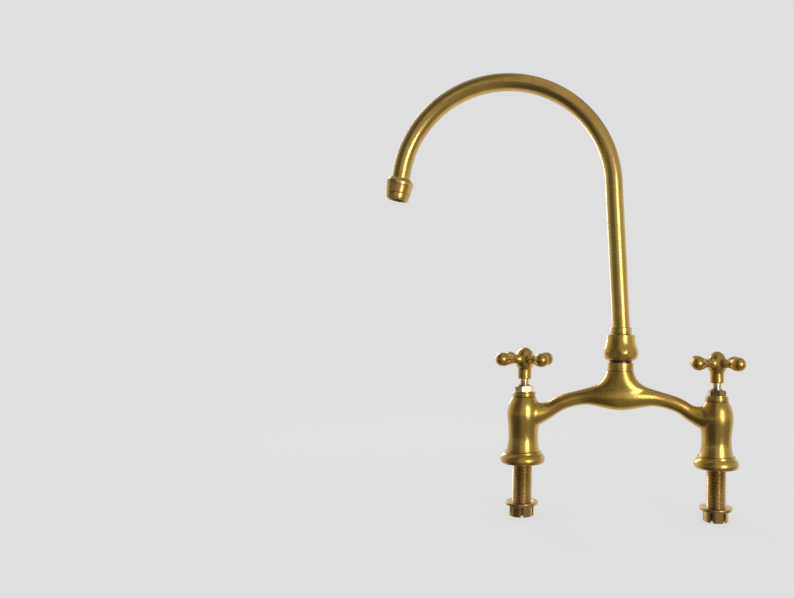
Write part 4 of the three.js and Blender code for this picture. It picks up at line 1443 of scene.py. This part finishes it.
@dataclass
class Swivel:
    """The bell-shaped nut with its wrench flats, and the collar above it."""

    foot: float = 109.5
    top: float = 137
    ledge: float = 123.4
    flat: float = 17.7
    first_flat: float = 9.5
    thread_bore: float = 12.15
    tube_hole: float = 9.95
    collar_low: float = 137.3
    collar_high: float = 145
    collar_radius: float = 11.3
    collar_bore: float = 9.75

    def nut(self) -> Piece:
        """Builds the nut: a turned bell, six flats cut off it, then its stepped bore.

        Returns:
            The settled nut.
        """
        bell = through(
            [
                (13.9, self.foot + 0.3), (16.0, 111), (17.7, 113.2), (18.7, 116), (18.85, 118.6),
                (18.1, 121.6), (16.9, 124.6), (15.9, 127.6), (15.35, 130.6), (15.1, 133.2), (14.95, 135.8),
            ],
            5,
        )
        outline = [(0, self.foot), (13.5, self.foot), *bell, (14.8, 136.5), (14.3, self.top), (0, self.top)]
        piece = turned("nut", outline, FINE_TURN_STEPS)
        open_all(piece)
        for index in range(6):
            angle = math.radians(60 * index + self.first_flat)
            away = Vector((math.cos(angle), math.sin(angle), 0))
            bpy.ops.mesh.select_all(action="SELECT")
            bpy.ops.mesh.bisect(plane_co=away * self.flat, plane_no=away, use_fill=True, clear_outer=True)
        weld(piece)
        bore = turned(
            "bore",
            [
                (0, self.foot - 1), (self.thread_bore, self.foot - 1), (self.thread_bore, self.ledge),
                (self.tube_hole, self.ledge), (self.tube_hole, self.top + 1), (0, self.top + 1),
            ],
        )
        combined(piece, bore, Cut.AWAY)
        return settle(piece, "swivel_nut", "bridge", Slot.CAST, smooth=14)

    def collar(self) -> Piece:
        """Builds the plain ring at the tube's foot.

        Returns:
            The settled ring.
        """
        bore, radius, low, high = self.collar_bore, self.collar_radius, self.collar_low, self.collar_high
        outline = eased([(bore, low), (radius, low, 0.5), (radius, high, 1.1), (bore, high), (bore, low)])
        return settle(turned("collar", outline), "spout_collar", "spout", Slot.CAST)

    def build(self) -> None:
        """Builds both pieces."""
        self.nut()
        self.collar()


# ---- Spout ----


@dataclass
class SwanNeck:
    """The bent tube."""

    radius: float = 9.5
    wall: float = 1.2
    foot: float = 122.2
    bend_start: float = 145
    rake: float = 3.8
    rake_radius: float = 40
    straight: float = 153.6
    arch_radius: float = 116
    arch_sweep: float = 167.5
    end: float = 18
    sides: int = 72
    pulls: int = 6

    def build(self) -> Piece:
        """Draws the tube out of a ring by extruding it and spinning it round the bends.

        Returns:
            The settled tube.
        """
        clear_selection()
        bpy.ops.mesh.primitive_circle_add(vertices=self.sides, radius=self.radius)
        piece = place(bpy.context.active_object, (0, 0, self.foot))
        open_all(piece)
        centre, lean = Vector((0, 0, self.foot)), 0.0
        for length, radius, sweep, steps in (
            (self.bend_start - self.foot, self.rake_radius, self.rake, 6),
            (self.straight, self.arch_radius, self.arch_sweep, 150),
            (self.end, 0, 0, 0),
        ):
            along = Vector((-math.sin(lean), 0, math.cos(lean)))
            for _ in range(self.pulls):
                step = along * length / self.pulls
                bpy.ops.mesh.extrude_region_move(TRANSFORM_OT_translate={"value": step})
            centre = centre + along * length
            if not sweep:
                break
            hub = centre + Vector((-math.cos(lean), 0, -math.sin(lean))) * radius
            bpy.ops.mesh.spin(steps=steps, angle=math.radians(sweep), center=hub, axis=(0, 1, 0))
            lean += math.radians(sweep)
            centre = hub + Vector((math.cos(lean), 0, math.sin(lean))) * radius
        weld(piece)
        wall = piece.modifiers.new("Wall", "SOLIDIFY")
        wall.thickness = self.wall
        wall.offset = -1
        apply_all(piece)
        return settle(piece, "spout_tube", "spout", Slot.DRAWN)


@dataclass
class Outlet:
    """The socket at the end of the tube, and the screwed ring with its mesh below it."""

    face: Place = (-245.669, 0, 278.151)
    tilt: float = 8.7
    mesh_pitch: float = 1.1
    mesh_width: float = 19
    mesh_radius: float = 9.1
    wire: float = 0.36

    def put(self, piece: Piece) -> Piece:
        """Places a piece that was modelled with the outlet's face at z = 0 and the tube above."""
        return place(piece, self.face, (0, self.tilt, 0))

    def socket(self) -> Piece:
        """Builds the shouldered socket.

        Returns:
            The settled socket.
        """
        outline = eased(
            [
                (11.95, 7.2), (13, 7.2, 0.3), (13.25, 9.6), (14.1, 16.4, 0.4), (14.4, 16.9, 0.3),
                (14.4, 20, 0.7), (11.3, 23.1, 0.6), (10.9, 24, 0.2), (9.75, 24), (9.75, 14.7), (7.6, 14.7),
                (7.6, 14), (11.95, 14), (11.95, 7.2),
            ]
        )
        return settle(self.put(turned("socket", outline)), "outlet_socket", "spout", Slot.DRAWN)

    def shell(self) -> Piece:
        """Builds the screwed ring, which narrows to the mouth.

        Returns:
            The settled ring.
        """
        outline = eased(
            [
                (11.1, 0, 0.2), (11.8, 0, 0.35), (12.15, 1.6), (12.7, 6.9, 0.4), (11.8, 6.9), (11.8, 11.5),
                (10.7, 11.5), (10.7, 2), (10, 2), (10, 1.2), (11.1, 0),
            ]
        )
        return settle(self.put(turned("shell", outline)), "aerator_shell", "spout", Slot.DRAWN)

    def insert(self) -> Piece:
        """Builds the dark insert: a ring round two layers of fine square mesh.

        Returns:
            The settled insert.
        """
        ring = turned(
            "ring", eased([(9.2, 2.3), (10.4, 2.3, 0.2), (10.4, 11.5, 0.2), (9.2, 11.5), (9.2, 2.3)]), 72
        )
        layers = [self.screen(3.2 + 1.6 * index, 45 * index) for index in range(2)]
        backing = bar("backing", 9.3, 10.4, 11.3, steps=72)
        return settle(self.put(together(ring, backing, *layers)), "aerator_insert", "spout", Slot.PLASTIC)

    def screen(self, height: float, turn: float) -> Piece:
        """Cuts one round layer of square mesh.

        Args:
            height: Its height above the outlet's face.
            turn: Its turn in degrees.

        Returns:
            The layer.
        """
        clear_selection()
        cells = math.ceil(self.mesh_width / self.mesh_pitch)
        bpy.ops.mesh.primitive_grid_add(x_subdivisions=cells, y_subdivisions=cells, size=self.mesh_width)
        piece = bpy.context.active_object
        for face in piece.data.polygons:
            face.select = face.center.length > self.mesh_radius
        bpy.ops.object.mode_set(mode="EDIT")
        bpy.ops.mesh.select_mode(type="FACE")
        bpy.ops.mesh.delete(type="FACE")
        bpy.ops.object.mode_set(mode="OBJECT")
        wires = piece.modifiers.new("Wires", "WIREFRAME")
        wires.thickness = self.wire
        apply_all(piece)
        return place(piece, (0, 0, height), (0, 0, turn))

    def build(self) -> None:
        """Builds the three pieces and the washer above them."""
        self.socket()
        self.shell()
        self.insert()
        ring = washer(inner=7.6, outer=11.6, low=11.8, high=13.4)
        settle(self.put(ring), "aerator_washer", "spout", Slot.RUBBER)


# ---- Seals, discs and the spigot ----


def o_ring(outer: float, section: float, height: float) -> Piece:
    """Turns a rubber ring with the fine line that its mould leaves round the outside.

    Args:
        outer: Its outer radius.
        section: The thickness of the rubber.
        height: The height of its middle.

    Returns:
        The ring.
    """
    half, line = section / 2, 0.02
    angles = np.linspace(-math.pi, math.pi, 25)
    outline = [
        (
            outer - half + half * math.cos(angle) + (line if abs(angle) < 0.01 else 0),
            height + half * math.sin(angle),
        )
        for angle in angles
    ]
    return turned("ring", outline, 96)


def washer(inner: float, outer: float, low: float, high: float) -> Piece:
    """Turns a flat ring with softly broken edges.

    Args:
        inner: Its inner radius.
        outer: Its outer radius.
        low: The height of its lower face.
        high: The height of its upper face.

    Returns:
        The ring.
    """
    outline = eased([(inner, low), (outer, low, 0.15), (outer, high, 0.15), (inner, high), (inner, low)])
    return turned("washer", outline)


@dataclass
class ValveSeals:
    """The ceramic discs, the seal under them and the two rings of one valve."""

    side: Side
    seat: float = 43.4
    seal_bore: float = 4.2
    disc_radius: float = 6.3
    disc_gap: float = 0.01
    fixed_low: float = 46
    moving_low: float = 48.8
    moving_high: float = 51.8
    port: Point = (1.6, 4.9)
    port_angle: float = 70

    def sector(self, low: float, high: float, turn: float) -> Piece:
        """Makes the cutter of one port.

        Args:
            low: The height of its lower face.
            high: The height of its upper face.
            turn: Its turn in degrees.

        Returns:
            The cutter.
        """
        reach = 10
        inner, outer = self.port
        ring = turned("port", [(inner, low), (outer, low), (outer, high), (inner, high), (inner, low)])
        for way in (-1, 1):
            angle = math.radians(self.port_angle / 2) * way
            middle = (-reach * way * math.sin(angle), reach * way * math.cos(angle), (low + high) / 2)
            size = (3 * reach, 2 * reach, high - low + 2)
            combined(ring, box(size, middle, math.degrees(angle)), Cut.AWAY)
        return place(ring, turn=(0, 0, turn))

    def disc(self, low: float, high: float, turn: float) -> Piece:
        """Makes a lapped ceramic disc with two opposite ports.

        Args:
            low: The height of its lower neighbour.
            high: The height of its upper neighbour.
            turn: The turn of its first port in degrees.

        Returns:
            The disc.
        """
        radius, foot, head = self.disc_radius, low + self.disc_gap, high - self.disc_gap
        disc = turned("disc", eased([(0, foot), (radius, foot, 0.2), (radius, head, 0.2), (0, head)]), 96)
        for part in (turn, turn + 180):
            combined(disc, self.sector(low - 1, high + 1, part), Cut.AWAY)
        return disc

    def moving_disc(self) -> Piece:
        """Makes the upper disc, notched at its rim for the spindle's lugs.

        Returns:
            The disc.
        """
        disc = self.disc(self.moving_low, self.moving_high, 90)
        for way in (-1, 1):
            combined(disc, box((3, 2.9, 2.4), (way * 6.05, 0, self.moving_high - 0.35)), Cut.AWAY)
        return disc

    def seat_seal(self) -> Piece:
        """Turns the thick rubber ring between the discs and the seat in the leg.

        Returns:
            The ring.
        """
        inner, outer, low, high = self.seal_bore, self.disc_radius, self.seat, self.fixed_low
        outline = eased(
            [
                (inner, low, 0.1), (outer - 0.6, low, 0.2), (outer, low + 0.6, 0.2), (outer, high, 0.15),
                (inner, high, 0.1), (inner, low),
            ]
        )
        return turned("seal", outline, 96)

    def build(self) -> None:
        """Builds the five pieces."""
        word = self.side.word
        for name, piece, body, slot in (
            ("bonnet_o_ring", o_ring(outer=8.25, section=1.3, height=73.2), "bridge", Slot.RUBBER),
            ("spindle_o_ring", o_ring(outer=4.4, section=1.05, height=66), f"{word}_handle", Slot.RUBBER),
            ("seat_seal", self.seat_seal(), "bridge", Slot.RUBBER),
            ("fixed_disc", self.disc(self.fixed_low, self.moving_low, 0), "bridge", Slot.CERAMIC),
            ("moving_disc", self.moving_disc(), f"{word}_handle", Slot.CERAMIC),
        ):
            settle(place(piece, self.side.foot_place), f"{word}_{name}", body, slot)


@dataclass
class Spigot:
    """The turned foot of the spout with its two rings, between two nylon slip rings."""

    low: float = 98
    radius: float = 8.25
    bore: float = 5.5
    boss_radius: float = 8.05
    boss_top: float = 132.2
    flange: Place = (11.7, 119.2, 122.2)
    ring_heights: Point = (103.6, 111.6)
    groove: Point = (6.75, 0.9)

    def shank(self) -> Piece:
        """Turns the brass itself: grooved shank, flange and the boss inside the tube.

        Returns:
            The turned brass.
        """
        floor, half = self.groove
        wide, under, over = self.flange
        grooves = [
            point
            for height in self.ring_heights
            for point in (
                (self.radius, height - half, 0.12), (floor, height - half, 0.1),
                (floor, height + half, 0.1), (self.radius, height + half, 0.12),
            )
        ]
        return turned(
            "spigot",
            eased(
                [
                    (self.bore, self.low), (self.radius - 0.6, self.low, 0.1),
                    (self.radius, self.low + 0.6, 0.1), *grooves, (self.radius, under),
                    (wide, under, 0.25), (wide, over - 0.02, 0.25),
                    (self.boss_radius, over - 0.02), (self.boss_radius, self.boss_top, 0.4),
                    (self.bore, self.boss_top), (self.bore, self.low),
                ]
            ),
        )

    def build(self) -> None:
        """Builds the spigot, its rings and the slip rings."""
        wide, under, over = self.flange
        settle(self.shank(), "spout_spigot", "spout", Slot.RAW)
        for word, height in zip(("lower", "upper"), self.ring_heights):
            ring = o_ring(outer=8.3, section=1.5, height=height)
            settle(ring, f"{word}_spigot_o_ring", "spout", Slot.RUBBER)
        lower = washer(inner=8.55, outer=wide, low=118.02, high=under - 0.04)
        settle(lower, "lower_slip_ring", "bridge", Slot.NYLON)
        upper = washer(inner=9.8, outer=wide, low=over + 0.03, high=123.38)
        settle(upper, "upper_slip_ring", "bridge", Slot.NYLON)


# ---- Studio ----


@dataclass(frozen=True)
class SoftBox:
    """A rectangular lamp. Its place and its width and height are in metres, its power in watts."""

    name: str
    at: Place
    size: Point
    power: float
    colour: Colour = (0.9, 0.95, 1.06)


@dataclass
class Studio:
    """The pale floor, the soft lamps, the room that the brass reflects, and the camera.

    Sizes are in metres and angles in degrees.
    """

    pale: float = 0.737
    floor_size: float = 6
    floor_height: float = -0.0548
    floor_fade: Point = (0.4, 1.2)
    floor_tone: float = 0.85
    floor_share: float = 0.14
    lens: float = 30.92
    shift: Point = (-0.2227, 0.0028)
    clip_start: float = 0.01
    eye: Place = (-0.0195, -0.7264, 0.1362)
    yaw: float = 2.47
    pitch: float = 2.8
    roll: float = 1.16
    dark_from_to: Point = (-78, -14)
    dark_edge: float = 16
    behind_edge: Point = (-0.15, 0.55)
    horizon_edge: Point = (-0.05, 0.04)
    horizon_width: float = 0.045
    ceiling_edge: Point = (0.2, 0.75)
    room: float = 0.48
    gloom: float = 0.1
    below: float = 0.5
    horizon: float = 0.55
    backdrop: float = 0.8
    back_ceiling: float = 0.3
    tint: Colour = (1.0, 0.95, 0.88)
    fill: float = 0.8
    heart: Place = (0, 0, 0.1)
    lamps: tuple[SoftBox, ...] = (
        SoftBox("window", (0.8, -1.15, 0.31), (0.46, 0.7), 6.8),
        SoftBox("rear_soft_box", (-0.75, 1.1, 0.55), (0.35, 0.9), 4.0),
    )

    def camera(self) -> None:
        """Sets the camera at the photograph's place and angle."""
        yaw, pitch, roll = (math.radians(angle) for angle in (self.yaw, self.pitch, self.roll))
        level = math.cos(pitch)
        ahead = Vector((-math.sin(yaw) * level, math.cos(yaw) * level, math.sin(pitch)))
        right = Vector((math.cos(yaw), math.sin(yaw), 0))
        up = right.cross(ahead)
        across = right * math.cos(roll) + up * math.sin(roll)
        upward = up * math.cos(roll) - right * math.sin(roll)
        turn = Matrix((across, upward, -ahead)).transposed()
        clear_selection()
        bpy.ops.object.camera_add()
        camera = bpy.context.active_object
        camera.matrix_world = Matrix.Translation(self.eye) @ turn.to_4x4()
        camera.data.lens = self.lens
        camera.data.shift_x, camera.data.shift_y = self.shift
        camera.data.clip_start = self.clip_start
        bpy.context.scene.camera = camera

    def world(self) -> None:
        """Sets the pale ground that the camera sees, and the room that the brass reflects.

        The room is pale behind the tap and mid-grey in front of it, dark at the front left, dimmer
        below the horizon, and has a thin bright line at the height of the horizon.
        """
        world = bpy.data.worlds.new("studio")
        bpy.context.scene.world = world
        world.use_nodes = True
        world.node_tree.nodes.clear()
        graph = Graph(world.node_tree, "Generated")
        axes = graph.node("ShaderNodeSeparateXYZ")
        graph.link(graph.place, axes.inputs[0])
        x, y, z = axes.outputs
        turn = graph.math("ARCTAN2", x, graph.math("MULTIPLY", y, -1.0))
        behind = graph.spread(y, 0.0, 1.0, *self.behind_edge)
        left, right = (math.radians(angle) for angle in self.dark_from_to)
        soft = math.radians(self.dark_edge)
        dark = graph.math(
            "MULTIPLY",
            graph.spread(turn, 0.0, 1.0, left - soft, left + soft),
            graph.spread(turn, 1.0, 0.0, right - soft, right + soft),
        )
        above = graph.spread(dark, self.room, self.gloom, 0.0, 1.0)
        level = graph.spread(z, graph.math("MULTIPLY", above, self.below), above, *self.horizon_edge)
        line = graph.spread(graph.math("ABSOLUTE", z), self.horizon, 0.0, 0.0, self.horizon_width)
        front = graph.math("ADD", level, line)
        back = graph.spread(z, self.backdrop, self.back_ceiling, *self.ceiling_edge)
        glossy = graph.spread(behind, front, back, 0.0, 1.0)
        room = graph.node("ShaderNodeBackground")
        graph.link(graph.mixed(glossy, (0.0, 0.0, 0.0), self.tint), room.inputs["Color"])
        seen, lit = (graph.node("ShaderNodeBackground") for _ in range(2))
        graph.link((self.pale, self.pale, self.pale), seen.inputs["Color"])
        graph.link((self.fill, self.fill, self.fill), lit.inputs["Color"])
        path = graph.node("ShaderNodeLightPath")
        reflected, whole = (graph.node("ShaderNodeMixShader") for _ in range(2))
        graph.link(path.outputs["Is Glossy Ray"], reflected.inputs[0])
        graph.link(lit.outputs[0], reflected.inputs[1])
        graph.link(room.outputs[0], reflected.inputs[2])
        graph.link(path.outputs["Is Camera Ray"], whole.inputs[0])
        graph.link(reflected.outputs[0], whole.inputs[1])
        graph.link(seen.outputs[0], whole.inputs[2])
        graph.link(whole.outputs[0], graph.node("ShaderNodeOutputWorld").inputs["Surface"])

    def floor(self) -> None:
        """Lays a pale floor that takes the tap's faint shadow and fades into the ground.

        From beneath it is clear, so the tap can be seen from there too.
        """
        clear_selection()
        bpy.ops.mesh.primitive_plane_add(size=self.floor_size, location=(0, 0, self.floor_height))
        floor = bpy.context.active_object
        floor.name = "floor"
        place(floor, (0, 0, self.floor_height))
        material, graph, shader = new_material("pale_floor")
        graph.tree.nodes.remove(shader)
        distance = graph.node("ShaderNodeVectorMath", operation="LENGTH")
        graph.link(graph.place, distance.inputs[0])
        glow, matt, clear = (
            graph.node(f"ShaderNode{kind}") for kind in ("Emission", "BsdfDiffuse", "BsdfTransparent")
        )
        graph.link((self.pale, self.pale, self.pale), glow.inputs["Color"])
        graph.link((self.floor_tone, self.floor_tone, self.floor_tone), matt.inputs["Color"])
        lit, whole = (graph.node("ShaderNodeMixShader") for _ in range(2))
        graph.link(self.floor_share, lit.inputs[0])
        graph.link(glow.outputs[0], lit.inputs[1])
        graph.link(matt.outputs[0], lit.inputs[2])
        beneath = graph.node("ShaderNodeNewGeometry").outputs["Backfacing"]
        far = graph.spread(distance.outputs["Value"], 0.0, 1.0, *self.floor_fade)
        graph.link(graph.math("MAXIMUM", far, beneath), whole.inputs[0])
        graph.link(lit.outputs[0], whole.inputs[1])
        graph.link(clear.outputs[0], whole.inputs[2])
        graph.link(whole.outputs[0], graph.tree.nodes["Material Output"].inputs["Surface"])
        floor.data.materials.append(material)
        floor.visible_glossy = floor.visible_shadow = False

    def light(self, source: SoftBox) -> None:
        """Adds a lamp and points it at the tap.

        Args:
            source: The lamp's description.
        """
        clear_selection()
        bpy.ops.object.light_add(type="AREA", location=source.at)
        lamp = bpy.context.active_object
        lamp.name = source.name
        lamp.data.shape = "RECTANGLE"
        lamp.data.size, lamp.data.size_y = source.size
        lamp.data.energy = source.power
        lamp.data.color = source.colour
        ahead = Vector(self.heart) - Vector(source.at)
        lamp.rotation_euler = ahead.to_track_quat("-Z", "Y").to_euler()

    def build(self) -> None:
        """Sets the stage."""
        bpy.context.scene.view_settings.view_transform = "Standard"
        self.camera()
        self.world()
        self.floor()
        for source in self.lamps:
            self.light(source)


def main() -> None:
    """Builds every piece in order, then the studio."""
    logging.basicConfig(level=logging.INFO, format="%(message)s")
    BridgeCasting().build()
    for side, (first_slot, hex_turn, handle_turn) in REST_TURNS.items():
        TailSet(side, first_slot).build()
        Headwork(side, hex_turn).build()
        CrossHandle(side, handle_turn).build()
        ValveSeals(side).build()
    Swivel().build()
    SwanNeck().build()
    Outlet().build()
    Spigot().build()
    Studio().build()


if __name__ == "__main__":
    main()
